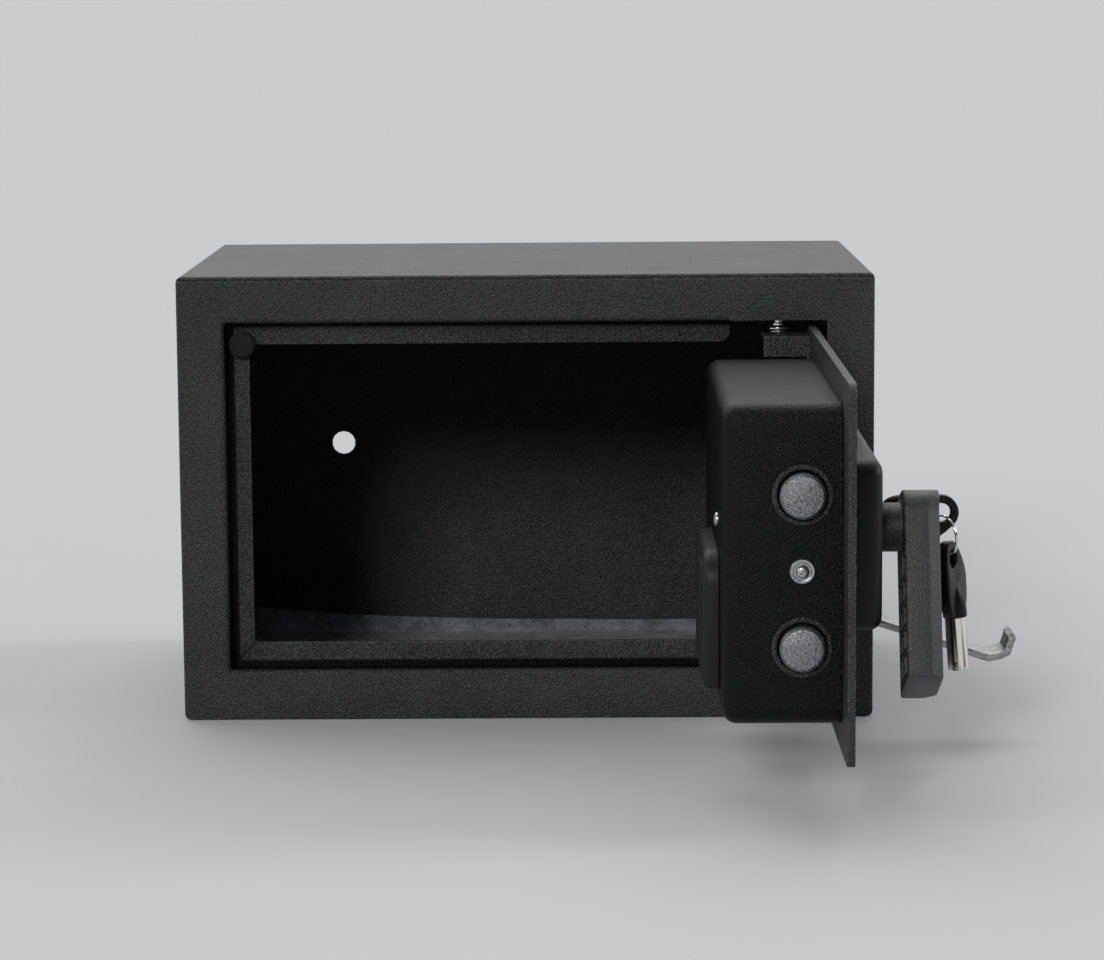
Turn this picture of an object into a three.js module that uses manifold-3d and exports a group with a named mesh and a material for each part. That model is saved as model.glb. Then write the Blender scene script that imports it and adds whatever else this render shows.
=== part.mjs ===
// Portable car safe with its door open at 90 degrees, in millimetres, +Z up.
// The origin is the centre of the base. The front is at -Y and the door opens about a vertical axis.
import * as THREE from "three";
import { mergeVertices } from "three/addons/utils/BufferGeometryUtils.js";
import Module from "manifold-3d";

const wasm = await Module();
wasm.setup();

// Driving dimensions of the case
const CASE_WIDTH = 310;
const CASE_HEIGHT = 200;
const CASE_DEPTH = 200;
const SHEET = 1.5;
const CASE_BEND = 2.5;
const CASE_SEAM = 0.5;

// Clearances and fineness
const SEAT = 0.3;
const OVERRUN = 5;
const WELD = 0.0001;
const ROUND_STEPS = 4;
const CIRCLE_STEPS = 24;
const SMALL_CIRCLE_STEPS = 14;
const TINY_CIRCLE_STEPS = 10;

// Opening of the front frame, and the stop flange behind it
const BORDER_SIDE = 21;
const BORDER_BOTTOM = 22.5;
const BORDER_TOP = 21;
const OPENING_HALF_WIDTH = CASE_WIDTH / 2 - BORDER_SIDE;
const OPENING_BOTTOM = BORDER_BOTTOM;
const OPENING_TOP = CASE_HEIGHT - BORDER_TOP;
const OPENING_CORNER = 1.2;
const LIP_RADIUS = 2.4;
const STOP_SETBACK = 8.5;
const STOP_REACH_SIDE = 10.4;
const STOP_REACH_TOP = 10;
const STOP_REACH_BOTTOM = 11.5;
const STOP_HINGE_GAP = 43;
const STOP_TOP_END = OPENING_HALF_WIDTH - STOP_HINGE_GAP;
const STOP_END_RADIUS = 4.5;

// Fixing holes in the back and the base
const FIXING_HOLE_RADIUS = 5.8;
const FIXING_HOLE_INSET = 60;
const FIXING_HOLE_SPREAD = CASE_WIDTH / 2 - FIXING_HOLE_INSET;

// Felt mat
const MAT_THICKNESS = 2.6;
const MAT_MARGIN = 2.2;
const MAT_CURL_RADIUS = 7;
const MAT_CURL_RISE = 2.4;

// Hinge
const HINGE_INSET = 20.6;
const HINGE_X = OPENING_HALF_WIDTH - HINGE_INSET;
const HINGE_DEPTH = 17.1;
const HINGE_PIN_RADIUS = 2.65;
const HINGE_BORE_RADIUS = 3;
const HINGE_FLANGE_RADIUS = 6.25;
const HINGE_FLANGE_THICKNESS = 1.5;
const HINGE_FLANGE_GAP = 1.6;
const HINGE_PIN_TAIL = 4;
const EAR_LENGTH = 30;
const EAR_BEYOND_PIN = 8.4;
const EAR_REACH = 20.4;
const EAR_DROP = 9;
const EAR_LEG = 14;
const EAR_CORNER = 3.2;
const EAR_BELOW_EDGE = 3.9;
const BRACKET_THICKNESS = 2;
const BRACKET_HALF_WIDTH = 15;
const BRACKET_REACH = 13;
const OPEN_ANGLE = Math.PI / 2;

// Door plate
const PLATE_THICKNESS = 3;
const PLATE_SETBACK = 1.5;
const PLATE_SIDE_GAP = 1.5;
const PLATE_TOP_GAP = 2.7;
const PLATE_BOTTOM_GAP = 5.1;
const PLATE_CORNER = 4;
const WIRE_HOLE_RADIUS = 5;
const PLATE_LEFT = -OPENING_HALF_WIDTH + PLATE_SIDE_GAP;
const PLATE_RIGHT = OPENING_HALF_WIDTH - PLATE_SIDE_GAP;
const PLATE_BOTTOM = OPENING_BOTTOM + PLATE_BOTTOM_GAP;
const PLATE_TOP = OPENING_TOP - PLATE_TOP_GAP;
const DOOR_MIDDLE = (PLATE_TOP + PLATE_BOTTOM) / 2;

// Lock cover on the inner face of the door
const COVER_FREE_INSET = 25.8;
const COVER_HINGE_INSET = 64.2;
const COVER_BOTTOM_INSET = 11.3;
const COVER_TOP_INSET = 10.8;
const COVER_LEFT = PLATE_LEFT + COVER_FREE_INSET;
const COVER_RIGHT = PLATE_RIGHT - COVER_HINGE_INSET;
const COVER_BOTTOM = PLATE_BOTTOM + COVER_BOTTOM_INSET;
const COVER_TOP = PLATE_TOP - COVER_TOP_INSET;
const COVER_DEPTH = 47;
const COVER_WALL = 1.5;
const COVER_CORNER = 7;
const COVER_EDGE = 6;
const COVER_DIMPLE_RADIUS = 0.8;
const COVER_DIMPLE_INSET = 7.7;

// Bolts and the carriage that moves them
const BOLT_RADIUS = 9;
const BOLT_SPACING = 60;
const BOLT_DROP = 1.55;
const BOLT_CENTRE_Z = DOOR_MIDDLE - BOLT_DROP;
const BOLT_DEPTH = 20.4;
const BOLT_PROUD = 6;
const BOLT_LENGTH = 40;
const BOLT_BEVEL = 1;
const BOLT_TRAVEL = 20;
const BUSHING_FLANGE_RADIUS = 12;
const BUSHING_BODY_RADIUS = 10.8;
const BUSHING_BORE_RADIUS = 9.9;
const BUSHING_PROUD = 1.1;
const BUSHING_LENGTH = 9;
const CARRIAGE_SHEET = 3;
const CARRIAGE_WEB_DEPTH = 16.5;
const CARRIAGE_WEB_LENGTH = 52;
const CARRIAGE_WEB_HALF_HEIGHT = 26;
const CARRIAGE_END_MARGIN = 11;
const CARRIAGE_CORNER = 3;
const POST_RADIUS = 3;
const POST_HEAD_RADIUS = 5;
const POST_HEAD_THICKNESS = 2;
const POST_OFFSET = 19.5;
const POST_FROM_FLANGE = 10;
const SLOT_CLEARANCE = 0.6;

// Control panel on the outer face of the door
const PANEL_FROM_COVER = 28;
const PANEL_WIDTH_SHARE = 0.517;
const PANEL_HEIGHT_SHARE = 0.4647;
const PANEL_RISE = 3.2;
const PANEL_WIDTH = (PLATE_RIGHT - PLATE_LEFT) * PANEL_WIDTH_SHARE;
const PANEL_HEIGHT = (PLATE_TOP - PLATE_BOTTOM) * PANEL_HEIGHT_SHARE;
const PANEL_LEFT = COVER_LEFT + PANEL_FROM_COVER;
const PANEL_RIGHT = PANEL_LEFT + PANEL_WIDTH;
const PANEL_MIDDLE = DOOR_MIDDLE + PANEL_RISE;
const PANEL_BOTTOM = PANEL_MIDDLE - PANEL_HEIGHT / 2;
const PANEL_TOP = PANEL_MIDDLE + PANEL_HEIGHT / 2;
const PANEL_DEPTH = 15;
const PANEL_CORNER = 7;
const PANEL_EDGE = 5;
const PANEL_WALL = 2.5;

// Handle and its drive
const HANDLE_FROM_PANEL = 30;
const HANDLE_RISE = 3.45;
const HANDLE_X = PANEL_LEFT + HANDLE_FROM_PANEL;
const HANDLE_Z = PANEL_MIDDLE + HANDLE_RISE;
const HANDLE_TILT = THREE.MathUtils.degToRad(18.5);
const HANDLE_SWING = THREE.MathUtils.degToRad(70);
const HUB_RADIUS = 10;
const HUB_LENGTH = 9.5;
const LEVER_THICKNESS = 14.5;
const LEVER_HALF_WIDTH = 17.6;
const LEVER_HEAD_REACH = 13.7;
const LEVER_HEAD_CORNER = 10;
const LEVER_LENGTH = 65.5;
const LEVER_BEVEL = 4.8;
const LEVER_BEVEL_END = 3.5;
const LEVER_BEVEL_RUNOUT = 6;
const LEVER_EDGE = 0.6;
const LEVER_FOOT_SLOPE = 0.13;
const LEVER_WALL = 2.6;
const LEVER_RIB = 2.4;
const LEVER_RIB_PITCH = 10;
const LEVER_POCKET_DEPTH = 9;
const SPINDLE_RADIUS = 4;
const SPINDLE_CLEARANCE = 0.4;
const CAM_THICKNESS = 3;
const CAM_DEPTH = 9;
const CAM_EYE_RADIUS = 8;
const CAM_PIN_RADIUS = 3;
const CAM_ARM_RADIUS = 4.8;

// Keypad
const KEY_COLUMNS = 3;
const KEY_ROWS = 4;
const KEY_PITCH_X_SHARE = 0.0985;
const KEY_PITCH_Z_SHARE = 0.1737;
const KEY_PITCH_X = PANEL_WIDTH * KEY_PITCH_X_SHARE;
const KEY_PITCH_Z = PANEL_HEIGHT * KEY_PITCH_Z_SHARE;
const KEY_GAP = 3;
const KEY_WIDTH = KEY_PITCH_X - KEY_GAP;
const KEY_HEIGHT = KEY_PITCH_Z - KEY_GAP;
const KEY_CORNER = 1.8;
const KEY_PROUD = 1.4;
const KEY_TRAVEL = 1;
const KEY_EDGE = 0.6;
const KEY_CLEARANCE = 0.35;
const KEYPAD_PLACE_SHARE = 0.192;
const KEYPAD_DROP = 2.15;
const KEYPAD_X = PANEL_RIGHT - PANEL_WIDTH * KEYPAD_PLACE_SHARE;
const KEYPAD_Z = PANEL_MIDDLE - KEYPAD_DROP;
const KEY_STEM_RADIUS = 2;
const KEY_CAP_THICKNESS = 3.6;
const BOARD_THICKNESS = 1.6;
const LED_RADIUS = 1.5;
const LED_PROUD = 0.6;
const LED_SPREAD = 7;
const LED_INSET = 8.2;
const LED_Z = PANEL_TOP - LED_INSET;

// Emergency lock, keys and ring
const LOCK_PLACE_SHARE = 0.5576;
const LOCK_DROP = 0.35;
const LOCK_X = HANDLE_X + (KEYPAD_X - HANDLE_X) * LOCK_PLACE_SHARE;
const LOCK_Z = PANEL_MIDDLE - LOCK_DROP;
const LOCK_RADIUS = 9.5;
const LOCK_BODY_RADIUS = 8;
const LOCK_PROUD = 5;
const LOCK_BODY_LENGTH = 24;
const LOCK_RIM = 1.2;
const PLUG_RADIUS = 6.2;
const PLUG_CLEARANCE = 0.3;
const KEY_BARREL_RADIUS = 4.4;
const KEY_BARREL_BORE = 2.9;
const KEY_BARREL_LENGTH = 23;
const KEY_BARREL_SHOWN = 0.6;
const KEY_BOW_LENGTH = 32.2;
const KEY_BOW_WIDTH = 20.8;
const KEY_BOW_THICKNESS = 5;
const KEY_BOW_NECK = 12;
const KEY_BOW_SHOULDER = 8;
const KEY_BOW_WAIST = 20;
const KEY_BOW_EDGE = 1;
const KEY_LOBE_RADIUS = 7.4;
const KEY_HOLE_RADIUS = 4;
const RING_RADIUS = 8.3;
const RING_WIRE = 0.6;
const RING_HANG_GAP = 1.9;
const RING_OUTWARD = 1.0;
const RING_LEAN = THREE.MathUtils.degToRad(8);
const RING_TURN = THREE.MathUtils.degToRad(27);
const SPARE_KEY_TILT = THREE.MathUtils.degToRad(4.5);
const SPARE_HANG_GAP = 1.7;

// Tether hook
const HOOK_FROM_PANEL = 13;
const HOOK_BELOW_PANEL = 14.3;
const HOOK_X = PANEL_RIGHT - HOOK_FROM_PANEL;
const HOOK_WIDTH = 18.5;
const HOOK_SHEET = 2.5;
const HOOK_SLOPE = THREE.MathUtils.degToRad(18.4);
const HOOK_ARM = 68.9;
const HOOK_FOLD_SHARES = [0.076, 0.046, 0.096, 0.062];
const HOOK_FOLD_ANGLES = [12, 26, 72, 124].map(THREE.MathUtils.degToRad);
const HOOK_ROOT_BEND = 3.5;
const HOOK_BEND_Z = PANEL_BOTTOM - HOOK_BELOW_PANEL;
const HOOK_FOOT = 17;
const HOOK_FOOT_CORNER = 3;
const SCREW_HEAD_RADIUS = 3;
const SCREW_HEAD_HEIGHT = 1.6;
const SCREW_SHANK_RADIUS = 1.5;

// Batteries
const BATTERY_DOOR_INSET = 22;
const BATTERY_DOOR_RISE = 9.6;
const BATTERY_DOOR_WIDTH = 81;
const BATTERY_DOOR_HEIGHT = 55.5;
const BATTERY_DOOR_LEFT = COVER_LEFT + BATTERY_DOOR_INSET;
const BATTERY_DOOR_RIGHT = BATTERY_DOOR_LEFT + BATTERY_DOOR_WIDTH;
const BATTERY_DOOR_BOTTOM = COVER_BOTTOM + BATTERY_DOOR_RISE;
const BATTERY_DOOR_TOP = BATTERY_DOOR_BOTTOM + BATTERY_DOOR_HEIGHT;
const BATTERY_DOOR_PROUD = 7;
const BATTERY_DOOR_CORNER = 8;
const BATTERY_DOOR_EDGE = 4;
const BATTERY_LATCH_WIDTH = 26;
const BATTERY_LATCH_HEIGHT = 15;
const BATTERY_LATCH_PROUD = 0.6;
const BATTERY_THUMB_RADIUS = 9;
const BATTERY_THUMB_DEPTH = 2;
const BATTERY_GRIP_WIDTH = 2.4;
const BATTERY_GRIP_COUNT = 3;
const CELL_COUNT = 4;
const CELL_RADIUS = 7.1;
const CELL_LENGTH = 49;
const CELL_NUB_RADIUS = 2.7;
const CELL_NUB_HEIGHT = 1.2;
const CELL_PITCH = 15.2;
const TRAY_WALL = 1.5;

// End screw on the cover, and the face screw by the battery door
const END_SCREW_RADIUS = 2.8;
const END_SCREW_HEIGHT = 2;
const END_WASHER_RADIUS = 4.9;
const END_WASHER_THICKNESS = 0.8;
const FACE_SCREW_INSET = 21;
const FACE_SCREW_RISE = 10.5;
const FACE_SCREW_X = BATTERY_DOOR_LEFT + FACE_SCREW_INSET;
const FACE_SCREW_Z = BATTERY_DOOR_TOP + FACE_SCREW_RISE;

// Solenoid that holds the carriage
const SOLENOID_HEADROOM = 8.8;
const SOLENOID_WIDTH = 14;
const SOLENOID_HEIGHT = 15;
const PLUNGER_RADIUS = 2.5;
const PLUNGER_SHOWN = 6;
const SOLENOID_LENGTH = COVER_TOP - SOLENOID_HEADROOM - PLUNGER_SHOWN - SEAT
  - (BOLT_CENTRE_Z + CARRIAGE_WEB_HALF_HEIGHT);

// Rubber bumper on the stop flange
const BUMPER_RADIUS = 6;
const BUMPER_THICKNESS = 3.4;

// Planes worked out from the sizes above
const FRONT = -CASE_DEPTH / 2;
const BACK = CASE_DEPTH / 2;
const HALF_WIDTH = CASE_WIDTH / 2;
const HINGE_Y = FRONT + HINGE_DEPTH;
const PLATE_FRONT = FRONT + PLATE_SETBACK;
const PLATE_BACK = PLATE_FRONT + PLATE_THICKNESS;
const COVER_BACK = PLATE_BACK + COVER_DEPTH;
const PANEL_FRONT = PLATE_FRONT - PANEL_DEPTH;
const BOLT_Y = FRONT + BOLT_DEPTH;
const WEB_FRONT = FRONT + CARRIAGE_WEB_DEPTH;
const WEB_BACK = WEB_FRONT + CARRIAGE_SHEET;
const FLANGE_LEFT = COVER_LEFT - BOLT_PROUD + BOLT_LENGTH;
const FLANGE_RIGHT = FLANGE_LEFT + CARRIAGE_SHEET;
const CAM_RADIUS = BOLT_TRAVEL / 2 / Math.sin(HANDLE_SWING / 2);
const CAM_FRONT = FRONT + CAM_DEPTH;
const TRAY_FRONT = BOLT_Y + BOLT_RADIUS + TRAY_WALL;
const CELL_Y = TRAY_FRONT + TRAY_WALL + SEAT + CELL_RADIUS;

// Colours and finishes
const FINISHES = {
  steel_black: { color: 0x3a3b3d, roughness: 0.62, metalness: 0.2 },
  zinc: { color: 0xb9babb, roughness: 0.35, metalness: 0.9 },
  bright: { color: 0xd9dadb, roughness: 0.18, metalness: 1 },
  plastic_black: { color: 0x2b2c2d, roughness: 0.5, metalness: 0 },
  plastic_key: { color: 0x55585c, roughness: 0.55, metalness: 0 },
  rubber: { color: 0x1d1d1e, roughness: 0.85, metalness: 0 },
  felt: { color: 0x70747a, roughness: 0.95, metalness: 0 },
  brass: { color: 0xb59b62, roughness: 0.35, metalness: 0.9 },
  copper: { color: 0x9a5b3a, roughness: 0.4, metalness: 0.8 },
  board: { color: 0x1f5a3a, roughness: 0.6, metalness: 0 },
  cell: { color: 0x77797c, roughness: 0.4, metalness: 0.4 },
  led_red: { color: 0xb02018, roughness: 0.2, metalness: 0 },
  led_green: { color: 0x1f9a3c, roughness: 0.2, metalness: 0 },
};

// Helpers: extruding, turning, lofting, joining and cutting

// The frames put a flat shape's x and y, and the way it is extruded, on the part's axes.
const FRAMES = {
  x: new THREE.Matrix4().makeBasis(
    new THREE.Vector3(0, 1, 0), new THREE.Vector3(0, 0, 1), new THREE.Vector3(1, 0, 0)),
  y: new THREE.Matrix4().makeBasis(
    new THREE.Vector3(1, 0, 0), new THREE.Vector3(0, 0, 1), new THREE.Vector3(0, -1, 0)),
  z: new THREE.Matrix4(),
};

// Extrudes a flat shape along an axis from one coordinate to another.
// The shape lies in the plane of the other two axes, in X, Y, Z order.
function extrude(axis, shape, from, to, steps = ROUND_STEPS) {
  const options = { depth: to - from, bevelEnabled: false, curveSegments: steps };
  const geometry = new THREE.ExtrudeGeometry(shape, options);
  geometry.applyMatrix4(FRAMES[axis]);
  if (axis === "x") geometry.translate(from, 0, 0);
  if (axis === "y") geometry.translate(0, to, 0);
  if (axis === "z") geometry.translate(0, 0, from);
  return geometry;
}

// A rectangle from its low and high corners, with one radius for all corners or one for each
// corner, counted from the low corner to the right and round.
function roundRect(u0, v0, u1, v1, radius = 0) {
  const [a, b, c, d] = Array.isArray(radius) ? radius : [radius, radius, radius, radius];
  const shape = new THREE.Shape();
  shape.moveTo(u0 + a, v0);
  shape.lineTo(u1 - b, v0);
  if (b) shape.absarc(u1 - b, v0 + b, b, -Math.PI / 2, 0);
  shape.lineTo(u1, v1 - c);
  if (c) shape.absarc(u1 - c, v1 - c, c, 0, Math.PI / 2);
  shape.lineTo(u0 + d, v1);
  if (d) shape.absarc(u0 + d, v1 - d, d, Math.PI / 2, Math.PI);
  shape.lineTo(u0, v0 + a);
  if (a) shape.absarc(u0 + a, v0 + a, a, Math.PI, 1.5 * Math.PI);
  return shape;
}

function disc(u, v, radius) {
  return new THREE.Shape().absarc(u, v, radius, 0, 2 * Math.PI);
}

function box(x0, y0, z0, x1, y1, z1) {
  return extrude("z", roundRect(x0, y0, x1, y1), z0, z1);
}

// A slot with round ends between two points.
function slot(u0, v0, u1, v1, radius) {
  const turn = Math.atan2(v1 - v0, u1 - u0);
  const shape = new THREE.Shape();
  shape.absarc(u1, v1, radius, turn - Math.PI / 2, turn + Math.PI / 2);
  shape.absarc(u0, v0, radius, turn + Math.PI / 2, turn + 1.5 * Math.PI);
  return shape;
}

// Turns a profile of [radius, height] points about an axis through (x, y, z).
function turned(axis, place, profile, steps = CIRCLE_STEPS) {
  const points = profile.map(([radius, height]) => new THREE.Vector2(radius, height));
  const geometry = new THREE.LatheGeometry(points, steps);
  if (axis === "x") geometry.rotateZ(-Math.PI / 2);
  if (axis === "z") geometry.rotateX(Math.PI / 2);
  return geometry.translate(...place);
}

function rod(axis, place, radius, from, to, steps = CIRCLE_STEPS) {
  return turned(axis, place, [[0, from], [radius, from], [radius, to], [0, to]], steps);
}

function tube(axis, place, inner, outer, from, to, steps = CIRCLE_STEPS) {
  const profile = [[inner, from], [outer, from], [outer, to], [inner, to], [inner, from]];
  return turned(axis, place, profile, steps);
}

// The points of a rounded rectangle drawn in by an inset, always the same number of them.
function rectRing(rect, corner, inset, steps) {
  const [u0, v0, u1, v1] = rect;
  const radius = Math.max(corner - inset, 0);
  const low = [u0 + inset + radius, v0 + inset + radius];
  const high = [u1 - inset - radius, v1 - inset - radius];
  const centres = [[high[0], low[1]], [high[0], high[1]], [low[0], high[1]], [low[0], low[1]]];
  return centres.flatMap(([u, v], side) =>
    Array.from({ length: steps + 1 }, (_, i) => {
      const angle = ((side - 1 + i / steps) * Math.PI) / 2;
      return [u + radius * Math.cos(angle), v + radius * Math.sin(angle)];
    }));
}

// Joins rings of 3-D points, all of one length and convex, into one closed skin.
function loft(rings) {
  const count = rings[0].length;
  const faces = [];
  for (let r = 0; r + 1 < rings.length; r += 1) {
    for (let i = 0; i < count; i += 1) {
      const [a, b] = [r * count + i, r * count + ((i + 1) % count)];
      faces.push(a, b, b + count, a, b + count, a + count);
    }
  }
  const last = (rings.length - 1) * count;
  for (let i = 1; i + 1 < count; i += 1) faces.push(0, i + 1, i, last, last + i, last + i + 1);
  const geometry = new THREE.BufferGeometry();
  geometry.setAttribute("position", new THREE.Float32BufferAttribute(rings.flat(2), 3));
  geometry.setIndex(faces);
  return geometry;
}

// A block with rounded corners whose outline is drawn in along its length.
// The profile is a list of [inset, coordinate] pairs, in rising coordinates.
function block(axis, rect, corner, profile, steps = ROUND_STEPS) {
  const order = { x: (u, v, w) => [w, u, v], y: (u, v, w) => [u, w, v], z: (u, v, w) => [u, v, w] };
  const rings = profile.map(([inset, along]) => {
    const ring = rectRing(rect, corner, inset, steps).map(([u, v]) => order[axis](u, v, along));
    return axis === "y" ? ring.reverse() : ring;
  });
  return loft(rings);
}

// A quarter-round edge that ends at a coordinate: it is drawn in as it nears that end.
function roundedEnd(radius, end, steps = ROUND_STEPS) {
  return Array.from({ length: steps + 1 }, (_, i) => {
    const angle = ((i / steps) * Math.PI) / 2;
    return [radius * (1 - Math.cos(angle)), end - radius * (1 - Math.sin(angle))];
  });
}

function roundedStart(radius, start, steps = ROUND_STEPS) {
  return roundedEnd(radius, -start, steps).map(([inset, along]) => [inset, -along]).reverse();
}

function solidOf(geometry) {
  if (!geometry.isBufferGeometry) return geometry;
  const bare = geometry.clone();
  bare.deleteAttribute("normal");
  bare.deleteAttribute("uv");
  const merged = mergeVertices(bare, WELD);
  const kept = [];
  const index = merged.index.array;
  for (let i = 0; i < index.length; i += 3) {
    const [a, b, c] = [index[i], index[i + 1], index[i + 2]];
    if (a !== b && b !== c && c !== a) kept.push(a, b, c);
  }
  const vertProperties = merged.attributes.position.array;
  return new wasm.Manifold(new wasm.Mesh({ numProp: 3, vertProperties, triVerts: new Uint32Array(kept) }));
}

function join(...pieces) {
  return pieces.map(solidOf).reduce((whole, piece) => whole.add(piece));
}

function cut(base, ...tools) {
  return tools.map(solidOf).reduce((left, tool) => left.subtract(tool), solidOf(base));
}

function geometryOf(solid) {
  const mesh = solid.getMesh();
  const geometry = new THREE.BufferGeometry();
  const points = new Float32Array(mesh.numVert * 3);
  for (let i = 0; i < mesh.numVert; i += 1) {
    points.set(mesh.vertProperties.subarray(i * mesh.numProp, i * mesh.numProp + 3), i * 3);
  }
  geometry.setAttribute("position", new THREE.BufferAttribute(points, 3));
  geometry.setIndex(new THREE.BufferAttribute(new Uint32Array(mesh.triVerts), 1));
  geometry.computeVertexNormals();
  return geometry;
}

function named(name, finish, shape) {
  const mesh = new THREE.Mesh(geometryOf(solidOf(shape)), new THREE.MeshStandardMaterial(FINISHES[finish]));
  mesh.name = name;
  return mesh;
}

// Case

function caseShell() {
  const outer = [-HALF_WIDTH, 0, HALF_WIDTH, CASE_HEIGHT];
  const start = FRONT + SHEET;
  const end = BACK - SHEET;
  const skin = block("y", outer, CASE_BEND, [
    [CASE_SEAM, start],
    [0, start + CASE_SEAM],
    [0, end - CASE_SEAM],
    [CASE_SEAM, end],
  ]);
  const hollow = roundRect(-HALF_WIDTH + SHEET, SHEET, HALF_WIDTH - SHEET, CASE_HEIGHT - SHEET, CASE_BEND - SHEET);
  const holes = [-1, 1].map((side) =>
    rod("z", [side * FIXING_HOLE_SPREAD, 0, 0], FIXING_HOLE_RADIUS, -OVERRUN, SHEET + OVERRUN, SMALL_CIRCLE_STEPS));
  return cut(skin, extrude("y", hollow, FRONT - OVERRUN, BACK + OVERRUN), ...holes);
}

function backPanel() {
  const rect = [-HALF_WIDTH, 0, HALF_WIDTH, CASE_HEIGHT];
  const start = BACK - SHEET;
  const plate = block("y", rect, CASE_BEND, [[CASE_SEAM, start], [0, start + CASE_SEAM], [0, BACK]]);
  const holes = [-1, 1].map((side) =>
    rod("y", [side * FIXING_HOLE_SPREAD, 0, CASE_HEIGHT / 2], FIXING_HOLE_RADIUS,
      start - OVERRUN, BACK + OVERRUN, SMALL_CIRCLE_STEPS));
  return cut(plate, ...holes);
}

// The stop flange is one strip seen from the front: down the left side, along the top as far
// as the hinge, and along the bottom.
function stopStrips() {
  const left = -OPENING_HALF_WIDTH - SHEET;
  const inner = -OPENING_HALF_WIDTH + STOP_REACH_SIDE;
  const top = OPENING_TOP - STOP_REACH_TOP;
  const bottom = OPENING_BOTTOM + STOP_REACH_BOTTOM;
  const from = FRONT + STOP_SETBACK;
  const side = roundRect(left, OPENING_BOTTOM - SHEET, inner, OPENING_TOP + SHEET);
  const upper = roundRect(left, top, STOP_TOP_END, OPENING_TOP + SHEET, [0, STOP_END_RADIUS, 0, 0]);
  const lower = roundRect(left, OPENING_BOTTOM - SHEET, STOP_TOP_END, bottom, [0, 0, STOP_END_RADIUS, 0]);
  return join(...[side, upper, lower].map((shape) => extrude("y", shape, from, from + SHEET)));
}

function frontFrame() {
  const rect = [-HALF_WIDTH, 0, HALF_WIDTH, CASE_HEIGHT];
  const mouth = [-OPENING_HALF_WIDTH, OPENING_BOTTOM, OPENING_HALF_WIDTH, OPENING_TOP];
  const border = block("y", rect, CASE_BEND, [
    ...roundedStart(CASE_SEAM, FRONT, 2),
    [0, FRONT + SHEET - CASE_SEAM],
    [CASE_SEAM, FRONT + SHEET],
  ]);
  const returnEnd = FRONT + STOP_SETBACK + SHEET;
  const walls = extrude("y", roundRect(mouth[0] - SHEET, mouth[1] - SHEET, STOP_TOP_END, mouth[3] + SHEET),
    FRONT + SHEET / 2, returnEnd);
  const bend = extrude("y", roundRect(mouth[0] - LIP_RADIUS, mouth[1] - LIP_RADIUS, STOP_TOP_END,
    mouth[3] + LIP_RADIUS), FRONT + SHEET / 2, FRONT + LIP_RADIUS);
  const passage = block("y", mouth, OPENING_CORNER, [[0, FRONT - OVERRUN], [0, returnEnd + OVERRUN]]);
  const wideMouth = mouth.map((edge, i) => edge + (i < 2 ? -LIP_RADIUS : LIP_RADIUS));
  const flare = block("y", wideMouth, OPENING_CORNER + LIP_RADIUS, [
    [0, FRONT - OVERRUN],
    [0, FRONT],
    ...roundedFlare(LIP_RADIUS, FRONT),
  ]);
  const rightLip = box(STOP_TOP_END, FRONT - OVERRUN, -OVERRUN, HALF_WIDTH + OVERRUN, FRONT + OVERRUN,
    CASE_HEIGHT + OVERRUN);
  const formed = cut(join(border, walls, bend), passage, solidOf(flare).subtract(solidOf(rightLip)));
  return join(formed, stopStrips());
}

// The lip of the opening: wide at the face, and drawn in to the opening one radius behind it.
function roundedFlare(radius, start) {
  return Array.from({ length: ROUND_STEPS }, (_, i) => {
    const angle = (((i + 1) / ROUND_STEPS) * Math.PI) / 2;
    return [radius * Math.sin(angle), start + radius * (1 - Math.cos(angle))];
  });
}

function doorBumper() {
  const x = -OPENING_HALF_WIDTH + STOP_REACH_SIDE - BUMPER_RADIUS / 2;
  const z = OPENING_TOP - STOP_REACH_TOP;
  const seat = FRONT + STOP_SETBACK - SEAT / 2;
  const edge = BUMPER_THICKNESS / 4;
  return turned("y", [x, 0, z], [
    [0, seat - BUMPER_THICKNESS],
    [BUMPER_RADIUS - edge, seat - BUMPER_THICKNESS],
    [BUMPER_RADIUS, seat - BUMPER_THICKNESS + edge],
    [BUMPER_RADIUS, seat],
    [0, seat],
  ], SMALL_CIRCLE_STEPS);
}

// The mat lies flat on the floor and curls up along the back wall.
function floorMat() {
  const floor = SHEET + SEAT / 2;
  const front = HINGE_Y + BRACKET_REACH + MAT_MARGIN;
  const back = BACK - SHEET - SEAT;
  const outer = MAT_CURL_RADIUS + MAT_THICKNESS;
  const shape = new THREE.Shape();
  shape.moveTo(front, floor);
  shape.absarc(back - outer, floor + outer, outer, -Math.PI / 2, 0);
  shape.lineTo(back, floor + outer + MAT_CURL_RISE);
  shape.lineTo(back - MAT_THICKNESS, floor + outer + MAT_CURL_RISE);
  shape.absarc(back - outer, floor + outer, MAT_CURL_RADIUS, 0, -Math.PI / 2, true);
  shape.lineTo(front, floor + MAT_THICKNESS);
  const half = HALF_WIDTH - SHEET - MAT_MARGIN;
  return extrude("x", shape, -half, half, ROUND_STEPS * 2);
}

// Hinge. Each end is built as the upper one and mirrored for the lower one.

function mirrored(solid, level) {
  return solidOf(solid).mirror([0, 0, 1]).translate([0, 0, 2 * level]);
}

const EAR_TOP = PLATE_TOP - EAR_BELOW_EDGE;

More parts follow.
